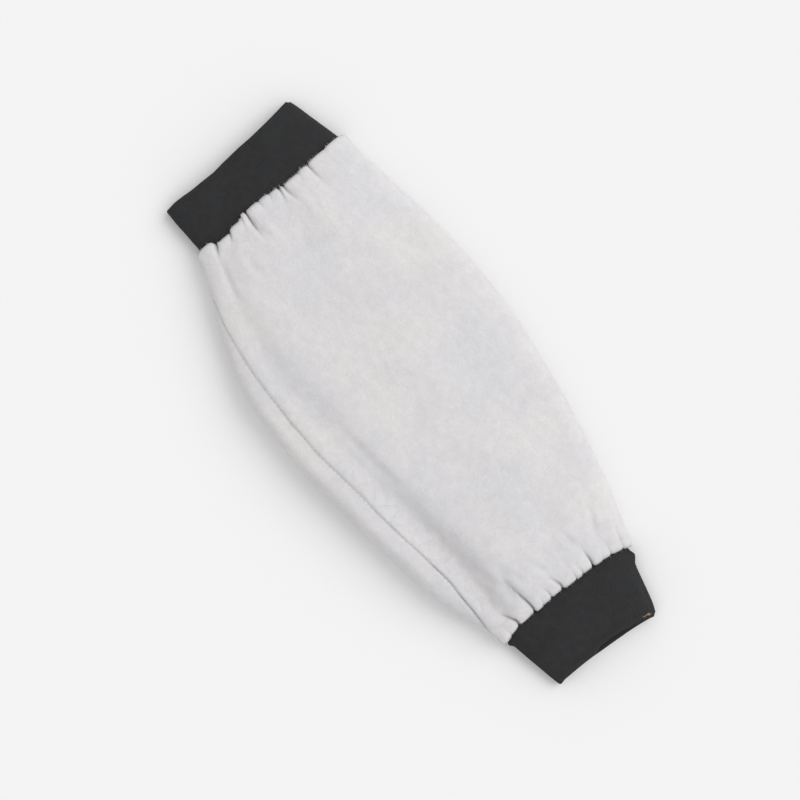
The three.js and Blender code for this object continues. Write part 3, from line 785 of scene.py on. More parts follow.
    def relief(self, rows, x):
        """Height of the leather over the base surface, and the painted shade in its creases, seam groove
        and trough, 0 to 1.
        """
        long = self.leather.length
        x = np.broadcast_to(x, rows.round.shape)
        along = x / long
        from_end = np.minimum(x, long - x)
        spots = np.stack([x, rows.y, rows.z], axis=-1)
        past_lap = smooth_step(SEAM_LAP, SEAM_LAP + PUFF_LENGTH / 4, from_end)
        gathers, gather_folds = self.gather_relief(rows, spots, {"upper": x, "wrist": long - x})
        shaped, seam_folds = self.seam_relief(x, along, spots, from_side_seam(rows), past_lap)
        for dent in DENTS:
            reach = bell((along - dent.along) * long, dent.reach * MM)
            across = (rows.round - dent.across) * rows.around
            shaped = shaped - dent.depth * MM * reach * bell(across, dent.spread * MM)
        shaped = shaped + self.wrinkle_relief(rows, x)
        for swell in SWELLS:
            strength = swell.height * MM * mix(swell.in_middle, 1, bell(from_end, SWELL_FADE))
            shaped = shaped + strength * waves(spots, swell.size * MM, self.seed + swell.step)
        folds = np.maximum(gather_folds, seam_folds)
        return gathers + shaped * past_lap, np.clip(folds, 0, 1)

    def pinched(self, rows, x):
        """Where fine creases show, 0 to 1: over the seam allowance and close to the gathered ends."""
        along = x / self.leather.length
        from_end = np.minimum(x, self.leather.length - x)
        over_allowance = bell(from_side_seam(rows) - 7 * MM, 6 * MM) * within(0.2, 0.4, 0.9, 1.0, along)
        return np.maximum(over_allowance, 0.45 * bell(from_end - 7 * MM, 12 * MM))

    def leather_rows(self, xs):
        return self.rows(xs, 0, self.upper_shares, self.wrist_shares)

    def overhang(self, rows, x):
        """How far each lobe hangs over the elastic past the leather's nominal end."""
        long = self.leather.length
        from_end = np.minimum(x, long - x)
        edge = np.maximum(0, 1 - from_end / (2 * PUFF_RISE))
        hangs = {}
        for end in ("upper", "wrist"):
            crease, slit = self.crease_depth(end, rows, 0 * rows.round)
            cut = 1.4 * crease + 1.6 * slit
            hangs[end] = MM * (self.lobe_value(end, rows, "hang") - cut)
        return np.where(x < long / 2, -hangs["upper"], hangs["wrist"]) * edge


def grid_faces(rows, columns, round_rows=True, round_columns=True):
    """Quads of a grid of points that may close on itself in each direction."""
    r = np.arange(rows if round_rows else rows - 1)
    c = np.arange(columns if round_columns else columns - 1)
    r, c = np.meshgrid(r, c, indexing="ij")
    r1, c1 = (r + 1) % rows, (c + 1) % columns
    quads = np.stack([r * columns + c, r1 * columns + c, r1 * columns + c1, r * columns + c1], -1)
    return quads.reshape(-1, 4)


def signed_volume(points, faces):
    """More than 0 where the quads of a closed mesh face outwards."""
    a, b, c, d = (points[faces[:, corner]] for corner in range(4))
    return float((a * np.cross(b, c)).sum() + (a * np.cross(c, d)).sum())


def add_object(name, data):
    """A new object with that data, in the scene."""
    thing = bpy.data.objects.new(name, data)
    bpy.context.scene.collection.objects.link(thing)
    return thing


def new_piece(name, points, faces, material, marks=None):
    """A smooth mesh piece that rides on the sleeve. marks are values kept at its points."""
    points = np.asarray(points, float).reshape(-1, 3)
    if faces.shape[1] == 4 and signed_volume(points, faces) < 0:
        faces = faces[:, ::-1]
    mesh = bpy.data.meshes.new(name)
    mesh.from_pydata(points.tolist(), [], faces.tolist())
    for label, values in (marks or {}).items():
        kind, field = ("FLOAT", "value") if values.ndim == 1 else ("FLOAT_VECTOR", "vector")
        attribute = mesh.attributes.new(label, kind, "POINT")
        attribute.data.foreach_set(field, values.astype(np.float32).ravel())
    mesh.shade_smooth()
    mesh.materials.append(material)
    piece = add_object(name, mesh)
    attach(piece, "root")
    return piece


def cross_axes(ahead):
    """Two directions across each of the given directions, and across each other."""
    helper = np.where(np.abs(ahead[:, 2:]) < 0.9, [[0, 0, 1.0]], [[1.0, 0, 0]])
    side = unit(np.cross(ahead, helper))
    return side, np.cross(side, ahead)


def tubes(lines, radii, sides=6):
    """Points and faces of closed thin tubes along lines, each an array of points."""
    points, faces, start = [], [], 0
    angles = 2 * math.pi * np.arange(sides) / sides
    turns = np.cos(angles)[None, :, None], np.sin(angles)[None, :, None]
    for line, radius in zip(lines, radii):
        side, up = cross_axes(unit(np.gradient(line, axis=0)))
        thick = np.full(len(line), radius)
        thick[[0, -1]] *= 0.25
        outward = turns[0] * side[:, None] + turns[1] * up[:, None]
        body = line[:, None] + outward * thick[:, None, None]
        caps = [mix(line[row, None].repeat(sides, 1), body[row], 0.001) for row in ([0], [-1])]
        body = np.concatenate([caps[0], body, caps[1]])
        points.append(body.reshape(-1, 3))
        faces.append(grid_faces(len(body), sides, round_rows=False) + start)
        start += len(body) * sides
    return np.concatenate(points), np.concatenate(faces)


def spikes(roots, tips, widths):
    """Points and faces of fine tapered fibres from roots to tips, each a slender closed spike."""
    side, up = cross_axes(unit(tips - roots))
    corners = [roots + widths[:, None] * (math.cos(a) * side + math.sin(a) * up)
               for a in (0, 2 * math.pi / 3, 4 * math.pi / 3)]
    points = np.stack([*corners, tips], axis=1).reshape(-1, 3)
    start = 4 * np.arange(len(roots))[:, None]
    faces = np.concatenate([start + f for f in ([0, 1, 3], [1, 2, 3], [2, 0, 3], [2, 1, 0])])
    return points, faces


class Wiring:
    """Adds nodes to one shader tree and joins them. A value may be a number or a socket."""

    def __init__(self, tree):
        self.tree = tree

    def add(self, kind, **settings):
        node = self.tree.nodes.new(kind)
        for name, value in settings.items():
            setattr(node, name, value)
        return node

    def feed(self, socket, value):
        if isinstance(value, bpy.types.NodeSocket):
            self.tree.links.new(value, socket)
        else:
            socket.default_value = value

    def math(self, operation, *values):
        node = self.add("ShaderNodeMath", operation=operation)
        for socket, value in zip(node.inputs, values):
            self.feed(socket, value)
        return node.outputs[0]

    def times(self, a, b):
        return self.math("MULTIPLY", a, b)

    def plus(self, a, b):
        return self.math("ADD", a, b)

    def mark(self, name, output="Fac"):
        """A value kept at the mesh's points."""
        return self.add("ShaderNodeAttribute", attribute_name=name).outputs[output]

    def noise(self, place, scale, detail=2.0, roughness=0.5, distortion=0.0):
        node = self.add("ShaderNodeTexNoise")
        settings = {"Vector": place, "Scale": scale, "Detail": detail, "Roughness": roughness,
                    "Distortion": distortion}
        for name, value in settings.items():
            self.feed(node.inputs[name], value)
        return node.outputs["Fac"]

    def remap(self, value, low, high, new_low=0.0, new_high=1.0):
        node = self.add("ShaderNodeMapRange", interpolation_type="SMOOTHSTEP")
        for name, number in {"Value": value, "From Min": low, "From Max": high,
                             "To Min": new_low, "To Max": new_high}.items():
            self.feed(node.inputs[name], number)
        return node.outputs["Result"]

    def blend(self, amount, a, b, kind="MIX"):
        node = self.add("ShaderNodeMix", data_type="RGBA", blend_type=kind)
        self.feed(node.inputs["Factor"], amount)
        self.feed(node.inputs["A"], a)
        self.feed(node.inputs["B"], b)
        return node.outputs["Result"]

    def grey(self, value):
        node = self.add("ShaderNodeCombineColor")
        for socket in node.inputs:
            self.feed(socket, value)
        return node.outputs["Color"]

    def stretch(self, place, scale):
        node = self.add("ShaderNodeVectorMath", operation="MULTIPLY")
        self.feed(node.inputs[0], place)
        node.inputs[1].default_value = scale
        return node.outputs["Vector"]

    def group(self, tree, **values):
        node = self.add("ShaderNodeGroup", node_tree=tree)
        for name, value in values.items():
            self.feed(node.inputs[name.replace("_", " ")], value)
        return node


def shader_group(name, inputs, outputs):
    """A new shader node group: its wiring, what it is given and what it puts out."""
    tree = bpy.data.node_groups.new(name, "ShaderNodeTree")
    for label, kind, value in inputs:
        socket = tree.interface.new_socket(label, in_out="INPUT", socket_type=kind)
        if value is not None:
            socket.default_value = value
    for label, kind in outputs:
        tree.interface.new_socket(label, in_out="OUTPUT", socket_type=kind)
    wires = Wiring(tree)
    return wires, wires.add("NodeGroupInput").outputs, wires.add("NodeGroupOutput").inputs


def once(name, make):
    """The node group of that name, made by make the first time."""
    return bpy.data.node_groups.get(name) or make(name)


def make_mottling(name):
    """Patches of two colours with a finer grain of light and dark over them."""
    wires, given, result = shader_group(name, [
        ("Place", "NodeSocketVector", None),
        ("Colour A", "NodeSocketColor", (1, 1, 1, 1)),
        ("Colour B", "NodeSocketColor", (0.9, 0.9, 0.9, 1)),
        ("Patches", "NodeSocketFloat", 30.0),
        ("Grain", "NodeSocketFloat", 900.0),
        ("Grain Strength", "NodeSocketFloat", 0.08),
    ], [("Colour", "NodeSocketColor")])
    patches = wires.noise(given["Place"], given["Patches"], 3.0, 0.55, 0.4)
    base = wires.blend(wires.remap(patches, 0.36, 0.64), given["Colour A"], given["Colour B"])
    grain = wires.noise(given["Place"], given["Grain"], 3.0, 0.65)
    clumps = wires.noise(given["Place"], wires.times(given["Grain"], 0.16), 2.0, 0.6)
    both = wires.plus(wires.times(grain, 0.6), wires.times(clumps, 0.4))
    change = wires.times(wires.math("SUBTRACT", both, 0.5), given["Grain Strength"])
    light = wires.plus(wires.times(change, 4.0), 1.0)
    wires.feed(result["Colour"], wires.blend(1.0, base, wires.grey(light), "MULTIPLY"))
    return wires.tree


def make_nap(name):
    """Height of a short brushed nap: fine fibres lying one way, in soft clumps."""
    wires, given, result = shader_group(name, [
        ("Place", "NodeSocketVector", None),
        ("Fibres", "NodeSocketFloat", 1500.0),
        ("Clumps", "NodeSocketFloat", 260.0),
    ], [("Height", "NodeSocketFloat")])
    lying = wires.stretch(given["Place"], (0.35, 1.0, 1.0))
    fibres = wires.noise(lying, given["Fibres"], 3.0, 0.7, 0.6)
    clumps = wires.noise(given["Place"], given["Clumps"], 4.0, 0.6, 0.3)
    height = wires.plus(wires.times(fibres, 0.45), wires.times(clumps, 0.55))
    wires.feed(result["Height"], height)
    return wires.tree


def make_crinkle(name):
    """Height of leather with fine sharp creases wandering over it."""
    wires, given, result = shader_group(name, [
        ("Place", "NodeSocketVector", None),
        ("Creases", "NodeSocketFloat", 120.0),
    ], [("Height", "NodeSocketFloat")])
    across = wires.stretch(given["Place"], (1.0, 0.6, 0.6))
    folds = wires.noise(across, given["Creases"], 2.0, 0.5, 0.6)
    away = wires.math("ABSOLUTE", wires.math("SUBTRACT", folds, 0.5))
    wires.feed(result["Height"], wires.remap(away, 0.0, 0.13))
    return wires.tree


def make_lint(name):
    """A mask of sparse pale specks of dust and lint."""
    wires, given, result = shader_group(name, [
        ("Place", "NodeSocketVector", None),
        ("Cells", "NodeSocketFloat", 160.0),
        ("Amount", "NodeSocketFloat", 0.5),
    ], [("Mask", "NodeSocketFloat")])
    cells = wires.add("ShaderNodeTexVoronoi", feature="F1")
    wires.feed(cells.inputs["Vector"], given["Place"])
    wires.feed(cells.inputs["Scale"], given["Cells"])
    speck = wires.remap(cells.outputs["Distance"], 0.16, 0.05)
    chosen = wires.noise(given["Place"], 38.0, 1.0, 0.5)
    chosen = wires.remap(chosen, 0.62, 0.68)
    specks = wires.times(speck, chosen)
    wires.feed(result["Mask"], wires.times(specks, given["Amount"]))
    return wires.tree


def make_weave(name):
    """Height and shade of ribbed elastic: yarns crossing each rib, from the cloth's own lay."""
    wires, given, result = shader_group(name, [
        ("Lay", "NodeSocketVector", None),
        ("Rib Pitch", "NodeSocketFloat", 0.0016),
        ("Yarn Pitch", "NodeSocketFloat", 0.0009),
    ], [("Height", "NodeSocketFloat"), ("Groove", "NodeSocketFloat")])
    parts = wires.add("ShaderNodeSeparateXYZ")
    wires.feed(parts.inputs[0], given["Lay"])
    ribs = wires.math("DIVIDE", parts.outputs["X"], given["Rib Pitch"])
    yarns = wires.math("DIVIDE", parts.outputs["Y"], given["Yarn Pitch"])
    lean = wires.times(wires.math("PINGPONG", ribs, 0.5), 0.8)
    turned = wires.times(wires.plus(yarns, lean), 2 * math.pi)
    crossing = wires.plus(wires.times(wires.math("SINE", turned), 0.5), 0.5)
    rib = wires.math("ABSOLUTE", wires.math("SINE", wires.times(ribs, math.pi)))
    height = wires.times(wires.plus(wires.times(crossing, 0.5), 0.5), rib)
    wires.feed(result["Height"], height)
    wires.feed(result["Groove"], wires.math("SUBTRACT", 1.0, wires.math("POWER", rib, 0.5)))
    return wires.tree


def new_material(name):
    """A material with its shader tree's wiring and its Principled shader."""
    material = bpy.data.materials.new(name)
    material.use_nodes = True
    material.node_tree.nodes.clear()
    wires = Wiring(material.node_tree)
    shader = wires.add("ShaderNodeBsdfPrincipled")
    output = wires.add("ShaderNodeOutputMaterial")
    wires.feed(output.inputs["Surface"], shader.outputs["BSDF"])
    place = wires.add("ShaderNodeTexCoord").outputs["Object"]
    return material, wires, shader, place


def bump(wires, shader, height, distance, strength=1.0):
    """Turns a height into the shader's relief."""
    node = wires.add("ShaderNodeBump")
    node.inputs["Distance"].default_value = distance
    node.inputs["Strength"].default_value = strength
    wires.feed(node.inputs["Height"], height)
    wires.feed(shader.inputs["Normal"], node.outputs["Normal"])


def matt(shader, specular, sheen=0.0, sheen_roughness=0.5):
    """Sets a weak gloss, and a sheen where the surface has a nap."""
    shader.inputs["Specular IOR Level"].default_value = specular
    shader.inputs["Sheen Weight"].default_value = sheen
    shader.inputs["Sheen Roughness"].default_value = sheen_roughness


def mottled(wires, place, colour_a, colour_b, patches, grain, strength):
    """Two colours in patches, with a grain, by the mottling group."""
    node = wires.group(once("mottling", make_mottling), Place=place, Colour_A=colour_a,
                       Colour_B=colour_b, Patches=patches, Grain=grain, Grain_Strength=strength)
    return node.outputs["Colour"]


def dusted(wires, place, colour, dust, cells, amount):
    """A colour with specks of lint over it, by the lint group."""
    lint = wires.group(once("lint", make_lint), Place=place, Cells=cells, Amount=amount)
    return wires.blend(lint.outputs["Mask"], colour, dust)


def darker(tint, share_left):
    """A colour with that share of its light left."""
    return [share_left * c for c in tint[:3]] + [1]


def suede_material(colours):
    """Light grey split leather: brushed nap, faint warm and cool patches, and painted shade in its
    folds, seam groove and trough, on its cut edges and inside.
    """
    material, wires, shader, place = new_material("light grey suede")
    patches = mottled(wires, place, colours.suede_warm, colours.suede_cool, 24.0, 1100.0, 0.11)
    scuffs = wires.noise(wires.stretch(place, (0.5, 1, 1)), 95.0, 4.0, 0.62, 0.8)
    scuffed = wires.blend(wires.remap(scuffs, 0.3, 0.72, 0.0, 0.14), patches, SCUFFED_SUEDE)
    # Painted shade: darker towards the fold shade colour where the fold mark is high
    fold_shaded = wires.blend(wires.times(wires.mark("fold"), 0.85), scuffed, colours.suede_fold_shade)
    wires.feed(shader.inputs["Base Color"], dusted(wires, place, fold_shaded, SUEDE_LINT, 210.0, 0.25))
    wires.feed(shader.inputs["Roughness"], wires.remap(scuffs, 0.2, 0.8, 0.86, 0.97))
    matt(shader, 0.2, 0.1, 0.45)
    nap = wires.group(once("nap", make_nap), Place=place, Fibres=1500.0, Clumps=330.0)
    crinkle = wires.group(once("crinkle", make_crinkle), Place=place, Creases=78.0)
    creases = wires.times(wires.times(crinkle.outputs["Height"], wires.mark("pinched")), 1.2)
    bump(wires, shader, wires.plus(nap.outputs["Height"], creases), 0.9 * MM, 0.55)
    return material


def elastic_material(colours, pitch):
    """Black ribbed elastic: covered rubber ribs crossed by fine yarns, with painted shade between the
    ribs and a little lint.
    """
    material, wires, shader, place = new_material("black ribbed elastic")
    weave = wires.group(once("ribbed weave", make_weave), Lay=wires.mark("lay", "Vector"),
                        Rib_Pitch=pitch, Yarn_Pitch=0.55 * pitch)
    black = colours.elastic_black
    patches = mottled(wires, place, black, darker(black, 0.88), 40.0, 1400.0, 0.3)
    # Where this mark is high, the ribs are lighter and the painted shade between them is stronger
    worn = wires.mark("worn")
    lighter = wires.blend(wires.times(worn, 0.04), patches, colours.elastic_lighter)
    # Painted shade between the ribs, darker towards the groove colour
    groove = wires.times(weave.outputs["Groove"], wires.remap(worn, 0, 1, 0.2, 0.72))
    ribbed = wires.blend(groove, lighter, colours.elastic_groove_shade)
    wires.feed(shader.inputs["Base Color"], dusted(wires, place, ribbed, ELASTIC_LINT, 230.0, 0.6))
    wires.feed(shader.inputs["Roughness"], wires.remap(weave.outputs["Height"], 0, 1, 0.95, 0.72))
    matt(shader, 0.22, 0.03)
    bump(wires, shader, weave.outputs["Height"], 0.1 * MM)
    return material


def thread_material(name, tint):
    """Twisted sewing thread."""
    material, wires, shader, place = new_material(name)
    patches = mottled(wires, place, tint, darker(tint, 0.6), 700.0, 3200.0, 0.35)
    wires.feed(shader.inputs["Base Color"], patches)
    twist = wires.add("ShaderNodeTexWave", bands_direction="DIAGONAL")
    wires.feed(twist.inputs["Vector"], place)
    twist.inputs["Scale"].default_value = 900.0
    wires.feed(shader.inputs["Roughness"], wires.remap(twist.outputs["Fac"], 0, 1, 0.6, 0.85))
    bump(wires, shader, twist.outputs["Fac"], 0.05 * MM)
    return material


def floor_material(colours):
    """A plain matt pale table."""
    material, wires, shader, place = new_material("pale table")
    cloudy = wires.remap(wires.noise(place, 3.0, 2.0), 0.3, 0.7, 0.0, 0.012)
    wires.feed(shader.inputs["Base Color"], wires.blend(cloudy, colours.floor, TABLE_CLOUD))
    shader.inputs["Roughness"].default_value = 0.9
    matt(shader, 0.15)
    return material


def material_of(name, make, *values):
    """The material of that name, made the first time that it is asked for."""
    return bpy.data.materials.get(name) or make(*values)


def suede(scene):
    return material_of("light grey suede", suede_material, scene.sleeve_colours)


def black_elastic(scene):
    pitch = scene.sleeve_elastic.rib_pitch
    return material_of("black ribbed elastic", elastic_material, scene.sleeve_colours, pitch)


def thread(scene, name, tint):
    return material_of(name, thread_material, name, tint)


def row_places(long):
    """Places of the leather's rows, close together at both ends and wider apart between them."""
    places, step = [0.0], FIRST_STEP
    while places[-1] < long / 2 - LONGEST_STEP:
        places.append(places[-1] + step)
        step = min(step * STEP_GROWTH, LONGEST_STEP)
    half = np.array(places) * (long / 2) / (places[-1] + step)
    return np.concatenate([half, [long / 2], long - half[::-1]])


class SLEEVE_OT_leather(bpy.types.Operator):
    """Make the gathered leather tube"""

    bl_idname = "sleeve.leather"
    bl_label = "Leather Tube"

    def execute(self, context):
        form = SleeveForm(context.scene)
        leather = form.leather
        xs = row_places(leather.length)
        rows = form.leather_rows(xs)
        x = xs[:, None]
        height, fold = form.relief(rows, x)
        push = form.overhang(rows, x)
        outer = form.points(rows, height + form.base_offset, 0.0, push)
        inner = form.points(rows, height + SEAM_CLEARANCE, leather.wall, push)
        # The cut edge of each end is rounded by one row between the two faces
        rims = {}
        for row, outward in ((-1, 1), (0, -1)):
            rims[row] = (outer[row] + inner[row])[None] / 2
            rims[row][..., 0] += outward * EDGE_ROUND * leather.wall
        shell = np.concatenate([outer, rims[-1], inner[::-1], rims[0]])
        # Painted shade on the cut edge and on the inside
        edge = np.full((1, fold.shape[1]), EDGE_GREY)
        marks = np.concatenate([fold, edge, np.full(fold.shape, LINING_GREY), edge])
        pinched = np.zeros_like(marks)
        pinched[:len(outer)] = form.pinched(rows, x)
        faces = grid_faces(len(shell), shell.shape[1])
        piece = new_piece("leather_sleeve", shell, faces, suede(context.scene),
                          {"fold": marks.ravel(), "pinched": pinched.ravel()})
        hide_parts("leather_tube")
        # Cut as wide as twice the flat width and 27 mm for the side seam, and 10 mm longer than it shows
        return {"FINISHED"}


def rib_relief(elastic, from_mouth):
    """Height of the elastic's ribs and plain edge at a distance from the mouth."""
    past = from_mouth - elastic.selvedge
    rib = np.abs(np.sin(math.pi * past / elastic.rib_pitch)) ** 0.6
    edge = 0.8 * smooth_step(-elastic.selvedge, -0.6 * elastic.selvedge, past)
    near_mouth = 1 + 1.4 * bell(past, 2.6 * elastic.rib_pitch)
    return elastic.rib_height * near_mouth * (np.where(past > 0, rib, edge) - 1)


def band_places(elastic, total):
    """Distances from the mouth of a band's rows: the round rim, the plain edge and the ribs."""
    edge = np.array([0.35, 0.9, 1.5]) / 2.2 * elastic.selvedge
    ribs = np.arange(elastic.selvedge, total - elastic.rib_pitch, elastic.rib_pitch)
    steps = np.array([0.0, 0.16, 0.5, 0.84])
    return np.concatenate([edge, (ribs[:, None] + steps * elastic.rib_pitch).ravel(), [total]])


def table_at(table, shares):
    """Millimetres read from rows of (share of the way round, value)."""
    places, values = zip(*table)
    return MM * np.interp(shares, places, values)


def ear_reach(rows, from_seam):
    """How far the ears of the wrist band's folded edges stand out, and how flat they are pressed."""
    middle, half = flat_span(rows)
    reach, pressed = 0.0, 0.0
    for ear in WRIST_EARS:
        from_edge = half - ear.side * (rows.y - middle)
        near = smooth_step(EAR_DEPTH, 0, from_edge)
        place = bell(from_seam - ear.out * MM, ear.spread * MM)
        reach = reach + ear.side * ear.reach * MM * place * near
        past_seam = smooth_step(0, EAR_PRESSED_PAST, from_seam)
        pressed = np.maximum(pressed, EAR_PRESSED * near * past_seam)
    return reach, pressed


def mouth_line(form, end, rows, from_mouth, spots):
    """How far a band's mouth stands out past its straight line, with its folded corners rounded."""
    from_fold = flat_span(rows)[1] - np.abs(rows.y - rows.y.mean(axis=1, keepdims=True))
    radius = CORNER_RADIUS[end]
    cut = radius * (1 - np.sqrt(1 - (1 - np.clip(from_fold / radius, 0, 1)) ** 2))
    out = table_at(MOUTH_WANDER[end], rows.round) - cut * bell(from_mouth, CORNER_FADE)
    if end == "wrist":
        out = out - table_at(TOP_LAYER_BACK, rows.round) * bell(from_mouth, TOP_LAYER_FADE)
    return out + MOUTH_WAVE * waves(spots, MOUTH_WAVE_SIZE, form.seed + 6)


def make_band(form, name, band, outward, seam_x):
    """One elastic band: a ribbed wall from its sewn edge to its mouth, with a wavy mouth."""
    elastic = form.elastic
    end = "upper" if outward < 0 else "wrist"
    total = band.length + SEAM_LAP
    places = band_places(elastic, total)
    from_mouth = places[:, None]
    from_seam = band.length - from_mouth
    shares = form.column_shares(end, BAND_COLUMNS, 0.0)
    rows = form.rows(seam_x + outward * (band.length - places), 0, shares)
    spots = np.stack([rows.x, rows.y, rows.z], axis=-1)
    at_mouth = bell(from_mouth, MOUTH_REACH)
    clear_of_leather = smooth_step(0, 2 * MM, from_seam)
    tucks, _ = form.crease_depth(end, rows, 0 * rows.round)
    shape = SAG_DEPTH * waves(spots, SAG_SIZE, form.seed + 5) * (0.35 + at_mouth)
    shape = shape - PUCKER_DEPTH * tucks * bell(np.maximum(0, from_seam), PUCKER_REACH)
    ears, pressed = 0.0, 0.0
    if end == "wrist":
        ears, pressed = ear_reach(rows, from_seam)
        from_far = rows.y.max(axis=1, keepdims=True) - rows.y
        shape = shape + JOINT_RIDGE * bell(from_far - JOINT_INSET, JOINT_WIDTH)
    shape = shape * clear_of_leather
    sway = outward * mouth_line(form, end, rows, from_mouth, spots) * at_mouth

    def squeeze(y, z):
        return y + ears, mix(z, rows.middle, pressed * clear_of_leather)

    def layer(height, floor):
        return form.points(rows, shape + height, floor, sway, squeeze)

    ribs = rib_relief(elastic, from_mouth)
    outer = layer(ribs, 0.0)
    inner = layer(-elastic.wall - ribs, 0.25 * MM)
    middle = layer(-elastic.wall / 2, 0.1 * MM)
    rim, sewn = middle[:1].copy(), middle[-1:].copy()
    rim[..., 0] += outward * BAND_EDGE_ROUND[0]
    sewn[..., 0] -= outward * BAND_EDGE_ROUND[1]
    shell = np.concatenate([outer[::-1], rim, inner, sewn])
    lay_rows = np.concatenate([places[::-1], [0], places, [total]]) - elastic.selvedge
    around = rows.round * rows.around
    around = np.concatenate([around[::-1], around[:1], around, around[-1:]])
    lay = np.stack([np.broadcast_to(lay_rows[:, None], around.shape), around, 0 * around], axis=-1)
    # Mark for lighter ribs and stronger painted shade between them
    worn = np.full(around.shape, LEAST_WEAVE_CONTRAST)
    if end == "wrist":
        worn += (1 - LEAST_WEAVE_CONTRAST) * within(*WEAVE_CONTRAST_STRETCH, rows.round[:1])
    return new_piece(name, shell, grid_faces(*shell.shape[:2]), black_elastic(bpy.context.scene),
                     {"lay": lay.reshape(-1, 3), "worn": worn.ravel()})


class SLEEVE_OT_bands(bpy.types.Operator):
    """Make the two ribbed elastic bands"""

    bl_idname = "sleeve.bands"
    bl_label = "Elastic Bands"

    def execute(self, context):
        form = SleeveForm(context.scene)
        # Each band is cut as long as twice its mouth's flat width and 20 mm for the joint
        upper = make_band(form, "upper_elastic", form.upper, -1, 0.0)
        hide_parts("upper_band")
        wrist = make_band(form, "wrist_elastic", form.wrist, 1, form.leather.length)
        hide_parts("wrist_band")
        return {"FINISHED"}


class SLEEVE_OT_fibres(bpy.types.Operator):
    """Make the loose fibres along the leather's cut ends"""

    bl_idname = "sleeve.fibres"
    bl_label = "Edge Fibres"

    def execute(self, context):
        form = SleeveForm(context.scene)
        draw = np.random.default_rng(form.seed)
        count = FIBRES_PER_END
        roots, tips = [], []
        for x, outward in ((0.0, -1), (form.leather.length, 1)):
            shares = np.sort(draw.uniform(0, 1, count))
            edge = self.surface(form, x, shares)
            behind = self.surface(form, x - outward * FIBRE_ROOM, shares)
            root = mix(edge, behind, draw.uniform(0, 0.7, count)[:, None])
            ahead = unit(np.array([outward, 0, 0]) + draw.normal(0, FIBRE_SCATTER, (count, 3)))
            reach = draw.gamma(*FIBRE_GAMMA, count)[:, None] * MM
            if outward < 0:
                reach = reach * (1 + FUZZIER * within(*FUZZY_STRETCH, shares)[:, None])
            tip = root + ahead * np.minimum(reach, LONGEST_FIBRE)
            tip[:, 2] = np.maximum(tip[:, 2], 0.1 * MM)
            roots.append(root)
            tips.append(tip)
        roots, tips = np.concatenate(roots), np.concatenate(tips)
        widths = draw.choice(FIBRE_WIDTHS, len(roots), p=FIBRE_SHARES) * MM
        points, faces = spikes(roots, tips, widths)
        plain = np.zeros(len(points))
        new_piece("suede_edge_fibres", points, faces, suede(context.scene),
                  {"fold": plain, "pinched": plain})
        return {"FINISHED"}

    def surface(self, form, x, shares):
        """Points just under the leather's face at x, at shares of the way round."""
        rows, place = form.rows(np.array([x]), 0, shares), np.array([[x]])
        height, _ = form.relief(rows, place)
        under = height + form.base_offset - FIBRE_DEPTH
        return form.points(rows, under, 0.15 * MM, form.overhang(rows, place))[0]


class SLEEVE_OT_thread_ends(bpy.types.Operator):
    """Make the singed thread ends on the corner of the wrist band's mouth"""

    bl_idname = "sleeve.thread_ends"
    bl_label = "Thread Ends"

    def execute(self, context):
        form = SleeveForm(context.scene)
        draw = np.random.default_rng(form.seed + 1)
        band = bpy.data.objects["wrist_elastic"].data
        surface = BVHTree.FromPolygons([v.co for v in band.vertices],
                                       [p.vertices for p in band.polygons])
        mouth = form.rows(np.array([form.leather.length + form.wrist.length]), 0, np.array([0.47]))
        corner = form.points(mouth, 0)[0][0]
        arc = np.sin(np.linspace(0, math.pi, THREAD_POINTS))
        lines, radii = [], []
        for _ in range(THREAD_TRIES):
            inward = [draw.uniform(*THREAD_FROM_MOUTH), draw.uniform(*THREAD_FROM_EDGE), 0]
            start = corner - np.array(inward) * MM
            turn = draw.uniform(*THREAD_TURN)
            way = np.array([math.cos(turn), math.sin(turn), 0.0])
            run = np.linspace(0, draw.uniform(*THREAD_LENGTH), THREAD_POINTS)[:, None] * MM
            bend = np.array([-way[1], way[0], 0]) * draw.uniform(*THREAD_BEND) * MM
            line = start + way * run + bend * arc[:, None]
            radius = draw.uniform(*THREAD_RADIUS) * MM
            hits = [surface.ray_cast(Vector((p[0], p[1], 0.1)), Vector((0, 0, -1)))[0] for p in line]
            # A thread lies on the top layer all the way, and not off the edge or on the layer below
            if any(hit is None or hit.z < 0.6 * corner[2] for hit in hits):
                continue
            line[:, 2] = [hit.z for hit in hits]
            line[:, 2] += 0.7 * radius + draw.uniform(*THREAD_RISE) * MM * arc
            lines.append(line)
            radii.append(radius)
            if len(lines) == THREAD_ENDS:
                break
        else:
            raise RuntimeError("The wrist band's corner has too little room for its thread ends")
        points, faces = tubes(lines, radii)
        brown = thread(context.scene, "brown thread", context.scene.sleeve_colours.thread_brown)
        new_piece("wrist_thread_ends", points, faces, brown)
        return {"FINISHED"}


class SLEEVE_OT_side_seam(bpy.types.Operator):
    """Make the stitches of the side seam, deep in its groove"""

    bl_idname = "sleeve.side_seam"
    bl_label = "Side Seam Stitches"

    def execute(self, context):
        form = SleeveForm(context.scene)
        first, last = STITCHES_STOP[0], form.leather.length - STITCHES_STOP[1]
        xs = np.arange(first, last, STITCH_PITCH) + STITCH_PITCH / 2
        shares = np.linspace(-STITCH_REACH, STITCH_REACH, len(STITCH_DEPTHS)) % 1.0
        rows = form.rows(xs, 0, shares)
        height, _ = form.relief(rows, xs[:, None])
        points = form.points(rows, height + form.base_offset + np.array(STITCH_DEPTHS) * MM)
        points, faces = tubes(points, [STITCH_RADIUS] * len(points))
        grey = thread(context.scene, "grey thread", context.scene.sleeve_colours.thread_grey)
        new_piece("side_seam_stitches", points, faces, grey)
        return {"FINISHED"}


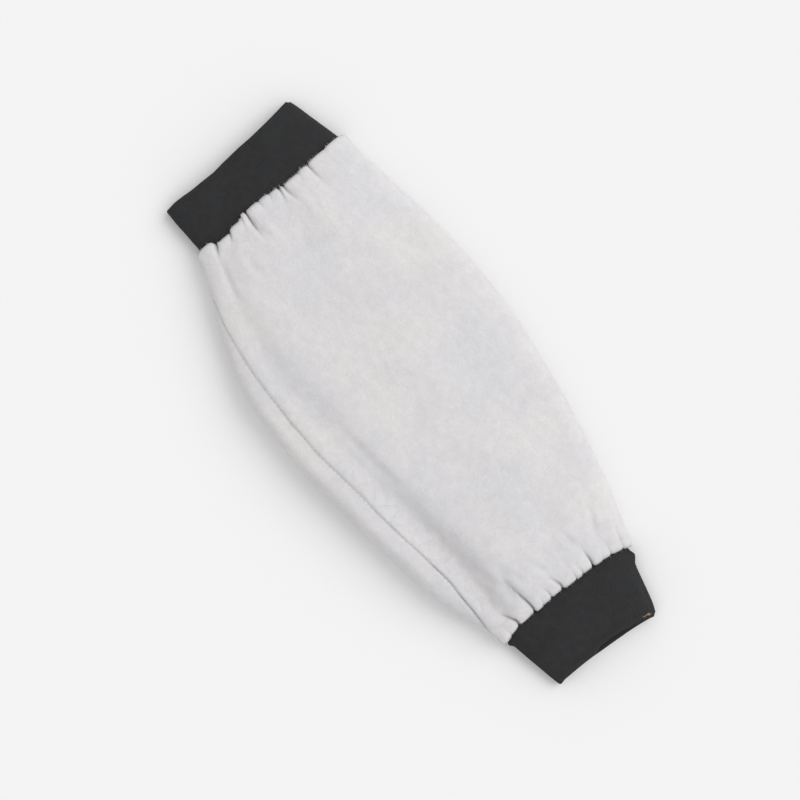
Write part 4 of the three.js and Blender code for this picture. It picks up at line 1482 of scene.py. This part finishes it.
class SLEEVE_OT_stage(bpy.types.Operator):
    """Make the pale table, the soft lights and the camera"""

    bl_idname = "sleeve.stage"
    bl_label = "Stage"

    def execute(self, context):
        scene = context.scene
        stage = scene.sleeve_stage
        mesh = bpy.data.meshes.new("table_top")
        corners = [(TABLE_HALF * x, TABLE_HALF * y, -TABLE_DROP)
                   for x, y in ((-1, -1), (1, -1), (1, 1), (-1, 1))]
        mesh.from_pydata(corners, [], [(0, 1, 2, 3)])
        mesh.materials.append(floor_material(scene.sleeve_colours))
        floor = add_object("table_top", mesh)

        low, high = CAD_BOX
        middle = (low + high) / 2
        right = Vector((math.cos(stage.turn), math.sin(stage.turn), 0))
        up = Vector((-math.sin(stage.turn), math.cos(stage.turn), 0))
        lens = bpy.data.cameras.new("overhead_camera")
        lens.lens = stage.focal_length
        lens.clip_end = 20
        camera = add_object("overhead_camera", lens)
        camera.location = Vector((middle.x, middle.y, stage.camera_height))
        camera.location += -stage.aside * right + stage.below * up
        camera.rotation_euler = (0, 0, stage.turn)
        scene.camera = camera

        sun = bpy.data.lights.new("key_light", "SUN")
        sun.energy = stage.key_strength
        sun.angle = stage.key_spread
        light = add_object("key_light", sun)
        # A sun shines the same from anywhere, so its place only says where it shines from
        light.location = Vector((0.1, 1, math.tan(stage.key_height)))
        light.rotation_euler = light.location.to_track_quat("Z", "Y").to_euler()
        world = bpy.data.worlds.new("pale_room")
        world.use_nodes = True
        sky = world.node_tree.nodes["Background"]
        sky.inputs["Color"].default_value = (1, 1, 1, 1)
        sky.inputs["Strength"].default_value = stage.sky
        scene.world = world
        scene.view_settings.view_transform = "Standard"
        return {"FINISHED"}


class SLEEVE_PT_panel(bpy.types.Panel):
    """Lists the sleeve's pieces and sizes"""

    bl_label = "Welding Sleeve"
    bl_idname = "SLEEVE_PT_panel"
    bl_space_type = "VIEW_3D"
    bl_region_type = "UI"
    bl_category = "Sleeve"

    def draw(self, context):
        layout = self.layout
        for operator in PIECES:
            layout.operator(operator.bl_idname)
        for name, kind in SETTINGS.items():
            box = layout.box()
            for prop in kind.__annotations__:
                box.prop(getattr(context.scene, name), prop)


SETTINGS = {
    "sleeve_leather": LeatherSizes,
    "sleeve_upper_band": UpperBandSizes,
    "sleeve_wrist_band": WristBandSizes,
    "sleeve_elastic": ElasticSizes,
    "sleeve_colours": FinishColours,
    "sleeve_stage": StageSizes,
}
PIECES = (
    SLEEVE_OT_stage,
    SLEEVE_OT_leather,
    SLEEVE_OT_bands,
    SLEEVE_OT_side_seam,
    SLEEVE_OT_thread_ends,
    SLEEVE_OT_fibres,
)


def register():
    for kind in (*SETTINGS.values(), *PIECES, SLEEVE_PT_panel):
        bpy.utils.register_class(kind)
    for name, kind in SETTINGS.items():
        setattr(bpy.types.Scene, name, PointerProperty(type=kind))


def unregister():
    for name in SETTINGS:
        delattr(bpy.types.Scene, name)
    for kind in reversed((*SETTINGS.values(), *PIECES, SLEEVE_PT_panel)):
        bpy.utils.unregister_class(kind)


def main():
    register()
    bpy.ops.sleeve.stage()
    bpy.ops.sleeve.leather()
    bpy.ops.sleeve.bands()
    bpy.ops.sleeve.side_seam()
    bpy.ops.sleeve.thread_ends()
    bpy.ops.sleeve.fibres()
    bpy.context.view_layer.update()


if __name__ == "__main__":
    main()
